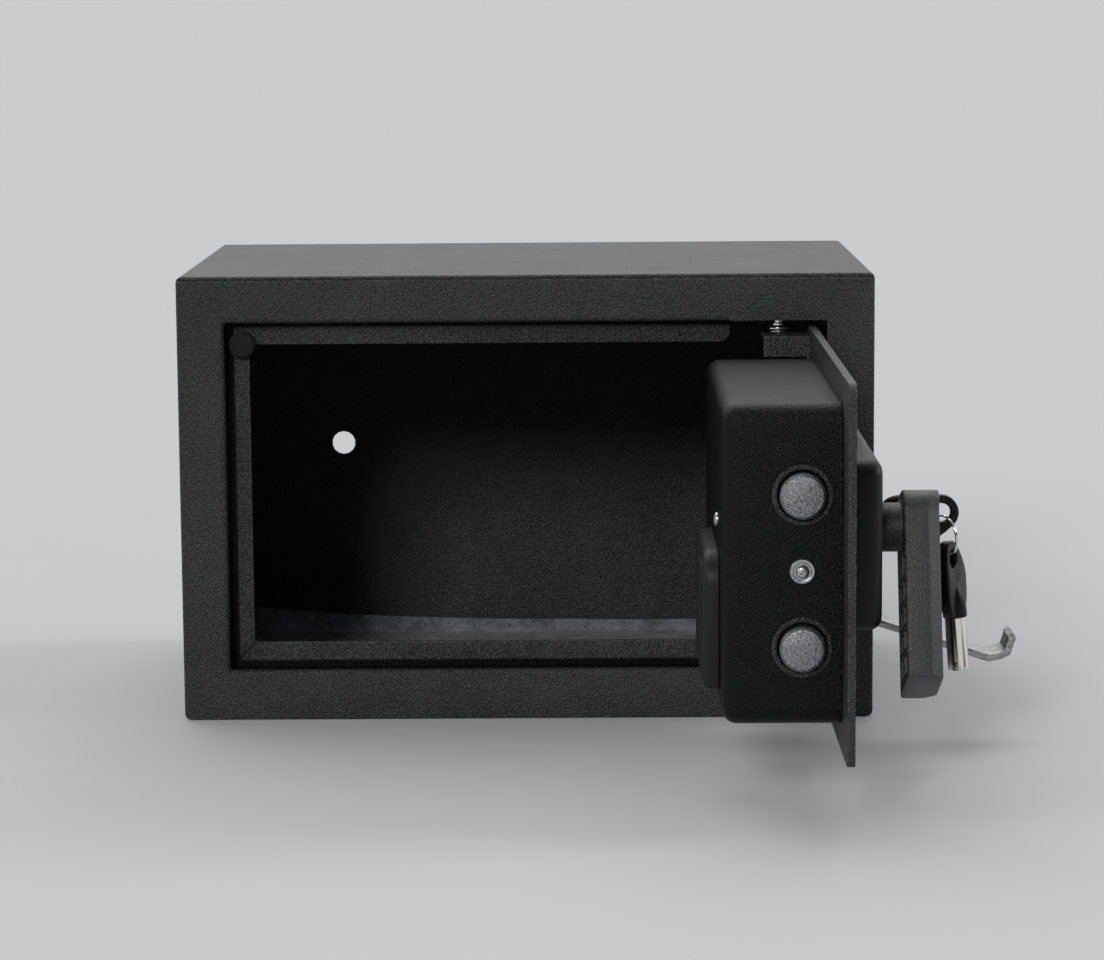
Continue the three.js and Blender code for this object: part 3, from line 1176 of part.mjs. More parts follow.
// A key drawn upright: its bow rises from the origin and its barrel hangs below it.
// The hole is in a round lobe at one corner of the bow, which tapers away on the other side.
function keyShape(barrelLength) {
  const half = KEY_BOW_WIDTH / 2;
  const neck = KEY_BOW_NECK / 2;
  const outline = new THREE.Shape();
  outline.moveTo(-neck, 0);
  outline.lineTo(neck, 0);
  outline.quadraticCurveTo(half, 0, half, KEY_BOW_SHOULDER);
  outline.lineTo(half, LOBE_ALONG);
  outline.absarc(LOBE_OFFSET, LOBE_ALONG, KEY_LOBE_RADIUS, 0, 0.75 * Math.PI);
  outline.lineTo(-half, KEY_BOW_WAIST);
  outline.quadraticCurveTo(-half, 0, -neck, 0);
  const edge = KEY_BOW_EDGE;
  const bow = new THREE.ExtrudeGeometry(outline, {
    depth: KEY_BOW_THICKNESS - 2 * edge,
    bevelThickness: edge,
    bevelSize: edge,
    bevelOffset: -edge,
    bevelSegments: 2,
    curveSegments: ROUND_STEPS,
  });
  bow.applyMatrix4(FRAMES.y).translate(0, KEY_BOW_THICKNESS / 2 - edge, 0);
  const collar = rod("z", [0, 0, 0], KEY_BARREL_RADIUS + edge / 2, -edge, KEY_BOW_SHOULDER, SMALL_CIRCLE_STEPS);
  const barrel = rod("z", [0, 0, 0], KEY_BARREL_RADIUS, -barrelLength, KEY_BOW_SHOULDER, SMALL_CIRCLE_STEPS);
  const bore = rod("z", [0, 0, 0], KEY_BARREL_BORE, -barrelLength - OVERRUN, -edge, SMALL_CIRCLE_STEPS);
  const hole = rod("y", [LOBE_OFFSET, 0, LOBE_ALONG], KEY_HOLE_RADIUS, -KEY_BOW_THICKNESS, KEY_BOW_THICKNESS,
    SMALL_CIRCLE_STEPS);
  return cut(join(bow, collar, barrel), bore, hole);
}

// The split ring, drawn upright about its centre: two turns of wire, side by side.
function keyRing() {
  const outlineShares = [[0, -1], [1, -0.6], [0.67, 0], [1, 0.6], [0, 1], [-1, 0.6], [-0.67, 0], [-1, -0.6], [0, -1]];
  const profile = outlineShares.map(([out, along]) => [RING_RADIUS + RING_WIRE * out, RING_WIRE * along]);
  return turned("y", [0, 0, 0], profile, CIRCLE_STEPS);
}

// Tether hook: a strip bent from a foot on the door, down and out, and folded up again in four flats

// The centre line of the strip, as [outward, height] points.
function hookLine() {
  const half = HOOK_SHEET / 2 + SEAT / 2;
  const bend = [half + HOOK_ROOT_BEND, HOOK_BEND_Z];
  const points = [[half, HOOK_BEND_Z - HOOK_FOOT]];
  const add = (centre, radius, from, turn, steps) => {
    for (let i = 0; i <= steps; i += 1) {
      const angle = from + (turn * i) / steps;
      points.push([centre[0] + radius * Math.cos(angle), centre[1] + radius * Math.sin(angle)]);
    }
  };
  add(bend, HOOK_ROOT_BEND, Math.PI, -Math.PI / 2 - HOOK_SLOPE, ROUND_STEPS);
  const steps = [[1, -HOOK_SLOPE], ...HOOK_FOLD_SHARES.map((share, i) => [share, HOOK_FOLD_ANGLES[i]])];
  for (const [share, heading] of steps) {
    const [out, height] = points[points.length - 1];
    points.push([out + HOOK_ARM * share * Math.cos(heading), height + HOOK_ARM * share * Math.sin(heading)]);
  }
  return points;
}

// Both sides of a line of points, half a thickness away on each side.
function thickened(points, thickness) {
  const sides = points.map(([u, v], i) => {
    const [a, b] = [points[Math.max(i - 1, 0)], points[Math.min(i + 1, points.length - 1)]];
    const length = Math.hypot(b[0] - a[0], b[1] - a[1]);
    const [nu, nv] = [-(b[1] - a[1]) / length, (b[0] - a[0]) / length];
    const half = thickness / 2;
    return [[u + nu * half, v + nv * half], [u - nu * half, v - nv * half]];
  });
  return [...sides.map((pair) => pair[0]), ...sides.map((pair) => pair[1]).reverse()];
}

function tetherHook() {
  const outline = thickened(hookLine(), HOOK_SHEET).map(([out, z]) => new THREE.Vector2(PLATE_FRONT - out, z));
  const strip = extrude("x", new THREE.Shape(outline), HOOK_X - HOOK_WIDTH / 2, HOOK_X + HOOK_WIDTH / 2);
  const holes = hookScrewHeights().map((z) =>
    rod("y", [HOOK_X, 0, z], SCREW_SHANK_RADIUS + PLUG_CLEARANCE, PLATE_FRONT - HOOK_SHEET - OVERRUN / 2,
      PLATE_FRONT + OVERRUN, SMALL_CIRCLE_STEPS));
  return cut(strip, ...holes);
}

function hookScrewHeights() {
  const low = HOOK_BEND_Z - HOOK_FOOT;
  return [low + SCREW_HEAD_RADIUS + HOOK_FOOT_CORNER / 2, HOOK_BEND_Z - SCREW_HEAD_RADIUS - HOOK_FOOT_CORNER / 2];
}

function hookScrew(z) {
  const face = PLATE_FRONT - HOOK_SHEET - SEAT;
  return screw("y", [HOOK_X, 0, z], face, -1, HOOK_SHEET);
}

function faceScrew() {
  return screw("y", [FACE_SCREW_X, 0, FACE_SCREW_Z], COVER_BACK + SEAT / 2, 1, OVERRUN);
}

// Assembly

function group(children, place = [0, 0, 0]) {
  const made = new THREE.Group();
  made.position.set(...place);
  made.add(...children);
  return made;
}

function handleAssembly() {
  const turning = group([
    named("handle_lever", "plastic_black", handleLever()),
    named("handle_spindle", "zinc", handleSpindle()),
  ], [HANDLE_X, PANEL_FRONT, HANDLE_Z]);
  turning.rotation.y = HANDLE_TILT;
  return turning;
}

// The first key is in the lock with its bow upright. The ring hangs in its hole, and the spare
// key hangs in the ring.
function keyAssembly() {
  const inserted = group([named("inserted_key", "brass", keyShape(KEY_BARREL_LENGTH - LOCK_BODY_LENGTH / 4))],
    [LOCK_X, bowBase(), LOCK_Z]);
  const basis = new THREE.Matrix4().makeBasis(
    new THREE.Vector3(0, 0, 1), new THREE.Vector3(-1, 0, 0), new THREE.Vector3(0, -1, 0));
  inserted.quaternion.setFromRotationMatrix(basis);

  const ringY = bowBase() - LOBE_ALONG - RING_OUTWARD;
  const ringTop = LOCK_Z + LOBE_OFFSET - KEY_HOLE_RADIUS + RING_WIRE + RING_HANG_GAP;
  const turnedRing = group([named("key_ring", "bright", keyRing())], [0, 0, -RING_RADIUS]);
  turnedRing.rotation.z = RING_TURN;
  const ring = group([turnedRing], [LOCK_X, ringY, ringTop]);
  ring.rotation.x = -RING_LEAN;

  const hangY = ringY - 2 * RING_RADIUS * Math.sin(RING_LEAN);
  const hangZ = ringTop - 2 * RING_RADIUS * Math.cos(RING_LEAN) - KEY_HOLE_RADIUS + RING_WIRE + SPARE_HANG_GAP;
  const spareMesh = named("spare_key", "brass", keyShape(KEY_BARREL_LENGTH));
  spareMesh.position.set(-LOBE_OFFSET, 0, -LOBE_ALONG);
  const turnedKey = group([spareMesh]);
  turnedKey.rotation.z = Math.PI - RING_TURN;
  const spare = group([turnedKey], [LOCK_X, hangY, hangZ]);
  spare.rotation.x = -SPARE_KEY_TILT;
  return [inserted, ring, spare];
}

function doorAssembly() {
  const cells = Array.from({ length: CELL_COUNT }, (_, i) => named(`battery_cell_${i + 1}`, "cell", cell(i)));
  const keys = keypadGrid((column, row, i) => named(`keypad_key_${i + 1}`, "plastic_key", keypadKey(column, row)));
  const screws = hookScrewHeights().map((z, i) =>
    named(i ? "hook_screw_upper" : "hook_screw_lower", "zinc", hookScrew(z)));
  const closed = group([
    named("door_plate", "steel_black", doorPlate()),
    named("hinge_ear_top", "steel_black", hingeEar()),
    named("hinge_ear_bottom", "steel_black", mirrored(hingeEar(), DOOR_MIDDLE)),
    named("lock_cover", "steel_black", lockCover()),
    named("bolt_bushing_upper", "plastic_black", boltBushing(1)),
    named("bolt_bushing_lower", "plastic_black", boltBushing(-1)),
    named("bolt_upper", "zinc", bolt(1)),
    named("bolt_lower", "zinc", bolt(-1)),
    named("bolt_carriage", "zinc", boltCarriage()),
    named("guide_post_upper", "brass", guidePost(1)),
    named("guide_post_lower", "brass", guidePost(-1)),
    named("drive_cam", "zinc", driveCam()),
    named("cover_end_washer", "zinc", endWasher()),
    named("cover_end_screw", "zinc", endScrew()),
    named("cover_face_screw", "bright", faceScrew()),
    named("battery_tray", "plastic_black", batteryTray()),
    ...cells,
    named("battery_door", "plastic_black", batteryDoor()),
    named("solenoid_body", "copper", solenoidBody()),
    named("solenoid_plunger", "zinc", solenoidPlunger()),
    named("control_panel", "plastic_black", controlPanel()),
    named("circuit_board", "board", circuitBoard()),
    ...keys,
    named("led_red", "led_red", led(-1)),
    named("led_green", "led_green", led(1)),
    handleAssembly(),
    named("lock_cylinder", "zinc", lockCylinder()),
    named("lock_plug", "brass", lockPlug()),
    ...keyAssembly(),
    named("tether_hook", "bright", tetherHook()),
    ...screws,
  ], [-HINGE_X, -HINGE_Y, 0]);
  const swing = group([closed], [HINGE_X, HINGE_Y, 0]);
  swing.rotation.z = OPEN_ANGLE;
  return swing;
}

function caseAssembly() {
  return group([
    named("case_shell", "steel_black", caseShell()),
    named("front_frame", "steel_black", frontFrame()),
    named("back_panel", "steel_black", backPanel()),
    named("floor_mat", "felt", floorMat()),
    named("door_bumper", "rubber", doorBumper()),
    ...hingeParts(),
  ]);
}

const safe = new THREE.Group();
safe.add(caseAssembly(), doorAssembly());

export default safe;
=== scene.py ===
# %% [markdown]
# # Dressing a portable car safe
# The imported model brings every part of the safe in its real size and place. This lesson gives the
# parts their finishes, and models again, in finer form, the ones that the camera sees from close by.
# Lengths are in metres. The safe stands on the floor at z = 0 with its front towards -Y, and its door
# stands open at a right angle.

# %% Load the model
from math import cos, pi, radians, sin

import bmesh
import bpy
from mathutils import Matrix, Vector, noise


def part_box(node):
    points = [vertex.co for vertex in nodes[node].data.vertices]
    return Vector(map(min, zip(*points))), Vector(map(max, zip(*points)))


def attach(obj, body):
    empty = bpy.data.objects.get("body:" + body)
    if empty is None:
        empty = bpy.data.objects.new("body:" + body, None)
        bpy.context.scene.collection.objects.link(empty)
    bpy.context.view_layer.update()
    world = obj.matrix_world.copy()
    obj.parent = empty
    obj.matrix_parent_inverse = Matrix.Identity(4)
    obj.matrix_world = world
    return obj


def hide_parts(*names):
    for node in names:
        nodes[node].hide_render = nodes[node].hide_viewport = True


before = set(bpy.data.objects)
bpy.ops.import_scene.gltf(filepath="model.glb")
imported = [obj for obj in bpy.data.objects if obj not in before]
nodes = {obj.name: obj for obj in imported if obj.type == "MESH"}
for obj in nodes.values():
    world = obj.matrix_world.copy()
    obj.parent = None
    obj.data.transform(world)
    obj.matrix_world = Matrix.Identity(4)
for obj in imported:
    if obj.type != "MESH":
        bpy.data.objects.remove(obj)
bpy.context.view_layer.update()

MM = 0.001

# %% [markdown]
# ## The camera
# The picture was taken from far away with a long lens, a little above the safe. A level camera with a
# shifted lens would keep every upright parallel, but a small downward tilt gives almost the same
# picture and needs no shift, so the camera is tilted. Less than half a degree of roll matches it.

# %% Camera
LENS, SENSOR_WIDTH = 112.78, 36
CAMERA_PLACE, CAMERA_AIM, CAMERA_ROLL = (0.0243, -1.6291, 0.3238), (-0.00845, 1, -0.14096), -0.427


def photo_camera():
    data = bpy.data.cameras.new("photo_camera")
    data.sensor_fit = "HORIZONTAL"
    data.sensor_width = SENSOR_WIDTH
    data.lens = LENS
    data.clip_end = 200
    camera = bpy.data.objects.new("photo_camera", data)
    bpy.context.scene.collection.objects.link(camera)
    camera.location = CAMERA_PLACE
    look = Vector(CAMERA_AIM).to_track_quat("-Z", "Y")
    roll = Matrix.Rotation(radians(CAMERA_ROLL), 4, "Z")
    camera.rotation_euler = (look.to_matrix().to_4x4() @ roll).to_euler()
    bpy.context.scene.camera = camera


photo_camera()
bpy.context.scene.view_settings.view_transform = "Standard"

# %% [markdown]
# ## Light and floor
# A dark textured object needs broad soft light: a small lamp would give only a few bright dots, and
# an area lamp would leave a bright pool on the floor. So every lamp is a sun with a wide angle, which
# lights the whole floor alike. One comes from the front left, low enough to reach the mat, and one
# from above and behind, which skims over the top. Two more at the sides draw highlights along rounded
# edges. The world adds an even light. The camera sees a plain pale studio in its place, and glossy
# surfaces see that studio behind the safe and its dark side in front, so that metal shows contrast.

# %% Lamps
def soft_sun(name, toward, strength, angle):
    data = bpy.data.lights.new(name, "SUN")
    data.energy = strength
    data.angle = radians(angle)
    lamp = bpy.data.objects.new(name, data)
    bpy.context.scene.collection.objects.link(lamp)
    lamp.rotation_euler = Vector(toward).to_track_quat("-Z", "Y").to_euler()


# Each sun has a name, the way it shines, a strength, and a width in degrees.
for sun in (("key_sun", (0.27, 0.87, -0.41), 1.3, 16), ("top_sun", (0.1, -0.5, -0.86), 1.3, 60),
            ("left_sun", (0.85, 0.38, -0.48), 0.35, 20), ("right_sun", (-1.0, -0.05, -0.45), 1.0, 24)):
    soft_sun(*sun)

# %% Node helpers
def add(tree, kind):
    return tree.nodes.new(f"ShaderNode{kind}")


def link(source, target):
    source.id_data.links.new(source, target)


def feed(socket, value):
    """Links another socket to this one, or sets its plain value."""
    if isinstance(value, bpy.types.NodeSocket):
        link(value, socket)
    else:
        socket.default_value = value


def maths(operation, *values, clamp=False):
    tree = next(value.id_data for value in values if isinstance(value, bpy.types.NodeSocket))
    node = add(tree, "Math")
    node.operation = operation
    node.use_clamp = clamp
    for socket, value in zip(node.inputs, values):
        feed(socket, value)
    return node.outputs[0]


def spread(value, low, high, side="From"):
    node = add(value.id_data, "MapRange")
    link(value, node.inputs["Value"])
    node.inputs[f"{side} Min"].default_value = low
    node.inputs[f"{side} Max"].default_value = high
    return node.outputs["Result"]


def between(mask, low, high):
    return spread(mask, low, high, "To")


# %% World
def studio_world():
    world = bpy.data.worlds.new("studio")
    bpy.context.scene.world = world
    world.use_nodes = True
    tree = world.node_tree
    tree.nodes.clear()
    rays = add(tree, "LightPath").outputs
    seen = maths("MAXIMUM", rays["Is Camera Ray"], rays["Is Transmission Ray"])
    parts = add(tree, "SeparateXYZ")
    link(add(tree, "TexCoord").outputs["Generated"], parts.inputs[0])
    fade = add(tree, "MapRange")
    fade.interpolation_type = "SMOOTHSTEP"
    for socket, value in (("From Min", -0.4), ("From Max", 0.8), ("To Min", 0.08), ("To Max", 0.85)):
        fade.inputs[socket].default_value = value
    link(parts.outputs["Y"], fade.inputs["Value"])
    shades = {}
    for name, colour, strength in (("even", (0.93, 0.96, 1, 1), 0.28), ("mirrored", (0.5, 0.5, 0.5, 1), 1),
                                   ("pale", (0.597, 0.608, 0.617, 1), 1)):
        shades[name] = add(tree, "Background")
        shades[name].inputs["Color"].default_value = colour
        shades[name].inputs["Strength"].default_value = strength
    link(fade.outputs["Result"], shades["mirrored"].inputs["Color"])
    first, second = add(tree, "MixShader"), add(tree, "MixShader")
    for mix, mask, one, other in ((first, rays["Is Glossy Ray"], shades["even"], shades["mirrored"]),
                                  (second, seen, first, shades["pale"])):
        link(mask, mix.inputs["Fac"])
        link(one.outputs[0], mix.inputs[1])
        link(other.outputs[0], mix.inputs[2])
    link(second.outputs[0], add(tree, "OutputWorld").inputs["Surface"])


studio_world()

# %% Floor
def set_mode(mode):
    bpy.ops.object.mode_set(mode=mode)


def clear_selection():
    if bpy.context.object is not None and bpy.context.object.mode != "OBJECT":
        set_mode("OBJECT")
    bpy.ops.object.select_all(action="DESELECT")


clear_selection()
bpy.ops.mesh.primitive_plane_add(size=400, location=(0, 0, -0.0003))
floor = bpy.context.object
floor.name = "floor"

# %% [markdown]
# ## Shader groups
# The effects that several finishes share are node groups: each is built once, and every material
# sets its own values on it. They put out heights and masks only.

# %% Building a group
def start_group(name, inputs, outputs):
    tree = bpy.data.node_groups.new(name, "ShaderNodeTree")
    for socket, value in inputs:
        made = tree.interface.new_socket(socket, in_out="INPUT", socket_type="NodeSocketFloat")
        made.default_value = value
    for socket in outputs:
        tree.interface.new_socket(socket, in_out="OUTPUT", socket_type="NodeSocketFloat")
    return tree, tree.nodes.new("NodeGroupInput").outputs, tree.nodes.new("NodeGroupOutput").inputs


def texture(tree, kind, scale, vector=None, **settings):
    node = add(tree, kind)
    if vector is None:
        vector = add(tree, "TexCoord").outputs["Object"]
    link(vector, node.inputs["Vector"])
    feed(node.inputs["Scale"], scale)
    for key, value in settings.items():
        if key in node.inputs:
            node.inputs[key].default_value = value
        else:
            setattr(node, key, value)
    return node.outputs

# %% [markdown]
# ### Powder coat
# Textured powder coat melts into small worm-like wrinkles about a millimetre across. Noise alone is
# too cloudy and cells alone are too regular, so the height mixes the two. The tone follows the same
# wrinkles, because the hollows between them hold less light, and a wide noise makes it uneven.

# %% The coat group
def coat_group():
    tree, start, end = start_group("wrinkle_coat", [("Scale", 700), ("Pits", 0.3)], ["Height", "Tone"])
    cloud = texture(tree, "TexNoise", start["Scale"], Detail=1, Roughness=0.5, Distortion=0.2)
    cells = texture(tree, "TexVoronoi", start["Scale"], feature="SMOOTH_F1")
    lumps = maths("ADD", maths("MULTIPLY", cloud["Fac"], 0.7),
                  maths("MULTIPLY", cells["Distance"], start["Pits"]))
    link(lumps, end["Height"])
    wide = texture(tree, "TexNoise", 22, Detail=4, Roughness=0.6)
    both = maths("ADD", maths("MULTIPLY", wide["Fac"], 0.25), maths("MULTIPLY", cloud["Fac"], 0.75))
    link(spread(both, 0.36, 0.66), end["Tone"])
    return tree


# %% [markdown]
# ### Worn and highlit edges, handling marks and grain
# Painted sheet wears at its bends first, and the paler tone there is also a painted highlight along
# the edges. The Bevel node gives the normal as if the edges were rounded, and where that differs from
# the true one there is an edge. Handling marks are soft patches, and grain is noise that is stretched along one
# direction.

# %% The edge, mark and grain groups
def edge_group():
    tree, start, end = start_group("worn_and_highlit_edges", [("Radius", 0.001), ("Amount", 1.0)], ["Mask"])
    tree.interface.new_socket("Normal", in_out="OUTPUT", socket_type="NodeSocketVector")
    bevel = add(tree, "Bevel")
    bevel.samples = 4
    link(start["Radius"], bevel.inputs["Radius"])
    true = add(tree, "NewGeometry")
    dot = add(tree, "VectorMath")
    dot.operation = "DOT_PRODUCT"
    link(bevel.outputs["Normal"], dot.inputs[0])
    link(true.outputs["Normal"], dot.inputs[1])
    edge = spread(maths("SUBTRACT", 1.0, dot.outputs["Value"]), 0.004, 0.08)
    patchy = texture(tree, "TexNoise", 750, Detail=2)
    # Where the edge mask is strong, the coat turns paler: real wear, and a painted highlight along the edge.
    worn_and_highlit = maths("MULTIPLY", edge, spread(patchy["Fac"], 0.4, 0.62))
    link(maths("MULTIPLY", worn_and_highlit, start["Amount"], clamp=True), end["Mask"])
    link(bevel.outputs["Normal"], end["Normal"])
    return tree


def marks_group():
    tree, start, end = start_group("handling_marks", [("Scale", 30)], ["Mask"])
    soft = texture(tree, "TexNoise", start["Scale"], Detail=5, Roughness=0.65, Distortion=0.8)
    link(spread(soft["Fac"], 0.35, 0.7), end["Mask"])
    return tree


def grain_group():
    inputs = [("Along X", 1), ("Along Y", 1), ("Along Z", 1), ("Scale", 900)]
    tree, start, end = start_group("stretched_grain", inputs, ["Height", "Mask"])
    place = add(tree, "TexCoord").outputs["Object"]
    parts = add(tree, "SeparateXYZ")
    joined = add(tree, "CombineXYZ")
    link(place, parts.inputs[0])
    for axis in "XYZ":
        link(maths("MULTIPLY", parts.outputs[axis], start[f"Along {axis}"]), joined.inputs[axis])
    fine = texture(tree, "TexNoise", start["Scale"], joined.outputs[0], Detail=4, Roughness=0.7)
    link(fine["Fac"], end["Height"])
    link(spread(fine["Fac"], 0.3, 0.7), end["Mask"])
    return tree


# %% [markdown]
# ### Zinc crystals and felt
# The bolts' ends show a speckle of small zinc crystals: cells that differ in tone. Felt is a mat of
# short fibres, light and dark, so its group mixes a fine and a coarse noise that are pulled out of
# shape.

# %% The crystal and felt groups
def crystal_group():
    tree, start, end = start_group("zinc_crystals", [("Scale", 1400)], ["Height", "Tone"])
    cells = texture(tree, "TexVoronoi", start["Scale"])
    tone = add(tree, "SeparateColor")
    link(cells["Color"], tone.inputs[0])
    fine = texture(tree, "TexNoise", start["Scale"], Detail=4, Roughness=0.7)
    link(tone.outputs[0], end["Tone"])
    link(maths("ADD", maths("MULTIPLY", tone.outputs[1], 0.5), fine["Fac"]), end["Height"])
    return tree


def felt_group():
    tree, start, end = start_group("felt_fibres", [("Scale", 420)], ["Height", "Tone"])
    fibres = texture(tree, "TexNoise", start["Scale"], Detail=8, Roughness=0.8, Distortion=2.5)
    blotch = texture(tree, "TexNoise", 75, Detail=5, Roughness=0.75, Distortion=1.2)
    both = maths("ADD", maths("MULTIPLY", fibres["Fac"], 0.6), maths("MULTIPLY", blotch["Fac"], 0.4))
    link(spread(both, 0.42, 0.6), end["Tone"])
    link(fibres["Fac"], end["Height"])
    return tree


groups = {"coat": coat_group(), "edges": edge_group(), "marks": marks_group(), "grain": grain_group(),
          "crystals": crystal_group(), "felt": felt_group()}
print("shader groups:", ", ".join(tree.name for tree in groups.values()))

# %% [markdown]
# ## Materials
# Every material starts from one Principled shader. Its plain values are set on its own sockets. What
# changes over the surface comes from the groups: the base colour runs between two tones, the
# roughness between two values, and a Bump node turns the height into a normal.

# %% Material helpers
def start_material(name, **values):
    material = bpy.data.materials.new(name)
    material.use_nodes = True
    shader = material.node_tree.nodes["Principled BSDF"]
    for socket, value in values.items():
        shader.inputs[socket.replace("_", " ")].default_value = value
    return material, material.node_tree, shader


def use_group(tree, key, **values):
    node = add(tree, "Group")
    node.node_tree = groups[key]
    for socket, value in values.items():
        node.inputs[socket.replace("_", " ")].default_value = value
    return node.outputs


def tones(mask, first, second):
    mix = add(mask.id_data, "Mix")
    mix.data_type = "RGBA"
    link(mask, mix.inputs["Factor"])
    for socket, colour in ((6, first), (7, second)):
        feed(mix.inputs[socket], (*colour, 1) if isinstance(colour, tuple) else colour)
    return mix.outputs[2]


def handled(shader, colour, rough, change, scale):
    """Sets the tone, and a roughness that handling marks change from place to place."""
    link(colour, shader.inputs["Base Color"])
    marks = use_group(colour.id_data, "marks", Scale=scale)
    link(between(marks["Mask"], rough, rough + change), shader.inputs["Roughness"])


def bump(shader, height, distance, over=None):
    node = add(height.id_data, "Bump")
    if over is not None:
        link(over, node.inputs["Normal"])
    node.inputs["Distance"].default_value = distance
    link(height, node.inputs["Height"])
    link(node.outputs["Normal"], shader.inputs["Normal"])

# %% [markdown]
# ### Painted and moulded blacks
# Nothing black is really black: the coat is a dark warm grey that turns paler at its bends, partly
# wear and partly a painted highlight. The mouldings have a finer, flatter texture than the sheet metal.
# The frame's coat is darker and matt in the corner between its return and its stop: painted shade there.

# %% Coated steel, mouldings and rubber
def coated(name, dark, edge_worn_and_highlit, scale, depth, rough, wear_and_highlight, radius=0.0012, gloss=0.45, contrast=1.4):
    material, tree, shader = start_material(name, Specular_IOR_Level=gloss)
    coat = use_group(tree, "coat", Scale=scale)
    edges = use_group(tree, "edges", Radius=radius, Amount=wear_and_highlight)
    base = tones(coat["Tone"], dark, tuple(value * contrast for value in dark))
    # The edges turn to a paler tone: wear, and a painted highlight along them.
    handled(shader, tones(edges["Mask"], base, (edge_worn_and_highlit,) * 3), rough, 0.05, 24)
    bump(shader, coat["Height"], depth, over=edges["Normal"])
    return material


def steel_coat(name):
    return coated(name, (0.012, 0.0121, 0.0125), 0.17, 1250, 0.0014, 0.42, 0.8, 0.0011, gloss=0.4, contrast=5)


# Where the band of painted shade starts beside, below and above the opening.
SHADE_BAND_SIDE, SHADE_BAND_LOW, SHADE_BAND_TOP = 130.05 * MM, 25.85 * MM, 176.7 * MM
SHADE_BAND_TONE, SHADE_BAND_GLOSS = (0.005, 0.005, 0.005), 0.08


def painted_corner_shade(material):
    """Paints shade into the corner between the frame's return and its stop, where the coat turns dark and matt."""
    tree = material.node_tree
    shader = tree.nodes["Principled BSDF"]
    parts = add(tree, "SeparateXYZ")
    link(add(tree, "TexCoord").outputs["Object"], parts.inputs[0])
    x, y, z = parts.outputs
    beside = maths("SUBTRACT", maths("ABSOLUTE", x), SHADE_BAND_SIDE)
    below, above = maths("SUBTRACT", SHADE_BAND_LOW, z), maths("SUBTRACT", z, SHADE_BAND_TOP)
    past = maths("MAXIMUM", maths("MAXIMUM", beside, below), above)
    ring = maths("SUBTRACT", spread(past, -0.2 * MM, 0.6 * MM), spread(past, 5 * MM, 5.5 * MM))
    mask = maths("MULTIPLY", ring, spread(y, -99 * MM, -95.5 * MM))
    coat = shader.inputs["Base Color"].links[0].from_socket
    # Painted shade: in the corner band the coat's tone is mixed towards a near black.
    link(tones(mask, coat, SHADE_BAND_TONE), shader.inputs["Base Color"])
    gloss = between(mask, shader.inputs["Specular IOR Level"].default_value, SHADE_BAND_GLOSS)
    link(gloss, shader.inputs["Specular IOR Level"])
    return material


# The numbers are the tone of the edges, which is wear and painted highlight, the wrinkles' scale and depth,
# the roughness, the amount of wear and painted edge highlight and, where it is given, the radius of the edges.
powder_coat = steel_coat("powder_coat")
# The frame's coat carries painted shade in the corner between its return and its stop.
frame_coat_shaded = painted_corner_shade(steel_coat("frame_coat_shaded"))
cover_coat = coated("cover_coat", (0.0028, 0.0029, 0.0031), 0.08, 1400, 0.0006, 0.36, 0.8, 0.0022,
                    gloss=0.13, contrast=2.4)
black_moulding = coated("black_moulding", (0.011, 0.0112, 0.0117), 0.035, 1500, 0.00012, 0.42, 0.2, gloss=0.25)
grey_moulding = coated("grey_moulding", (0.028, 0.0285, 0.03), 0.2, 1900, 0.0003, 0.38, 1.5, 0.001)
black_nylon = coated("black_nylon", (0.003, 0.003, 0.0032), 0.14, 1500, 0.0012, 0.25, 1.2, 0.0005, contrast=16)
black_rubber = coated("black_rubber", (0.014, 0.014, 0.014), 0.03, 1100, 0.0001, 0.8, 0.2, gloss=0.2)
key_rubber = coated("key_rubber", (0.05, 0.053, 0.058), 0.1, 1500, 0.0001, 0.5, 0.2)

# %% [markdown]
# ### Bare metals
# Plated parts differ by their texture more than by their colour: zinc is speckled, nickel is almost
# a mirror with fine scratches, and brass keeps the marks of the lathe.

# %% Zinc, nickel, brass and copper
def plated(name, first, second, rough, depth, along=(1, 1, 1), scale=900, bumps="grain"):
    material, tree, shader = start_material(name, Metallic=1.0)
    if bumps == "grain":
        surface = use_group(tree, "grain", Along_X=along[0], Along_Y=along[1], Along_Z=along[2], Scale=scale)
        tone = surface["Mask"]
    else:
        surface = use_group(tree, "crystals", Scale=scale)
        tone = surface["Tone"]
    handled(shader, tones(tone, first, second), rough, 0.12, 90)
    bump(shader, surface["Height"], depth)
    return material


# The numbers are the roughness, the depth, the grain's stretch along each axis, and its scale.
speckled_zinc = plated("speckled_zinc", (0.09, 0.092, 0.095), (0.42, 0.43, 0.44), 0.36, 0.00012,
                       scale=2600, bumps="crystals")
bright_zinc = plated("bright_zinc", (0.3, 0.305, 0.31), (0.58, 0.59, 0.6), 0.27, 0.00002, (1, 0.15, 1), 1200)
nickel = plated("nickel", (0.74, 0.73, 0.71), (0.86, 0.85, 0.83), 0.1, 0.00001, (0.3, 1, 1), 700)
turned_brass = plated("turned_brass", (0.6, 0.45, 0.2), (0.74, 0.58, 0.3), 0.22, 0.00002, (1, 1, 0.1), 1500)
copper_wire = plated("copper_wire", (0.55, 0.24, 0.12), (0.75, 0.36, 0.2), 0.3, 0.0002, (0.1, 0.1, 6), 400)

# %% [markdown]
# ### Felt, board, lenses and cells
# The felt is a sheen cloth, because its loose fibres catch light at grazing angles. The small
# electrical parts are plain products with one clear finish each.

# %% Felt and the electrical parts
def felt_material():
    material, tree, shader = start_material("grey_felt", Roughness=0.95, Sheen_Weight=0.35, Sheen_Roughness=0.6)
    fibres = use_group(tree, "felt", Scale=330)
    colour = tones(fibres["Tone"], (0.036, 0.038, 0.041), (0.33, 0.34, 0.355))
    link(colour, shader.inputs["Base Color"])
    bump(shader, fibres["Height"], 0.0016)
    return material


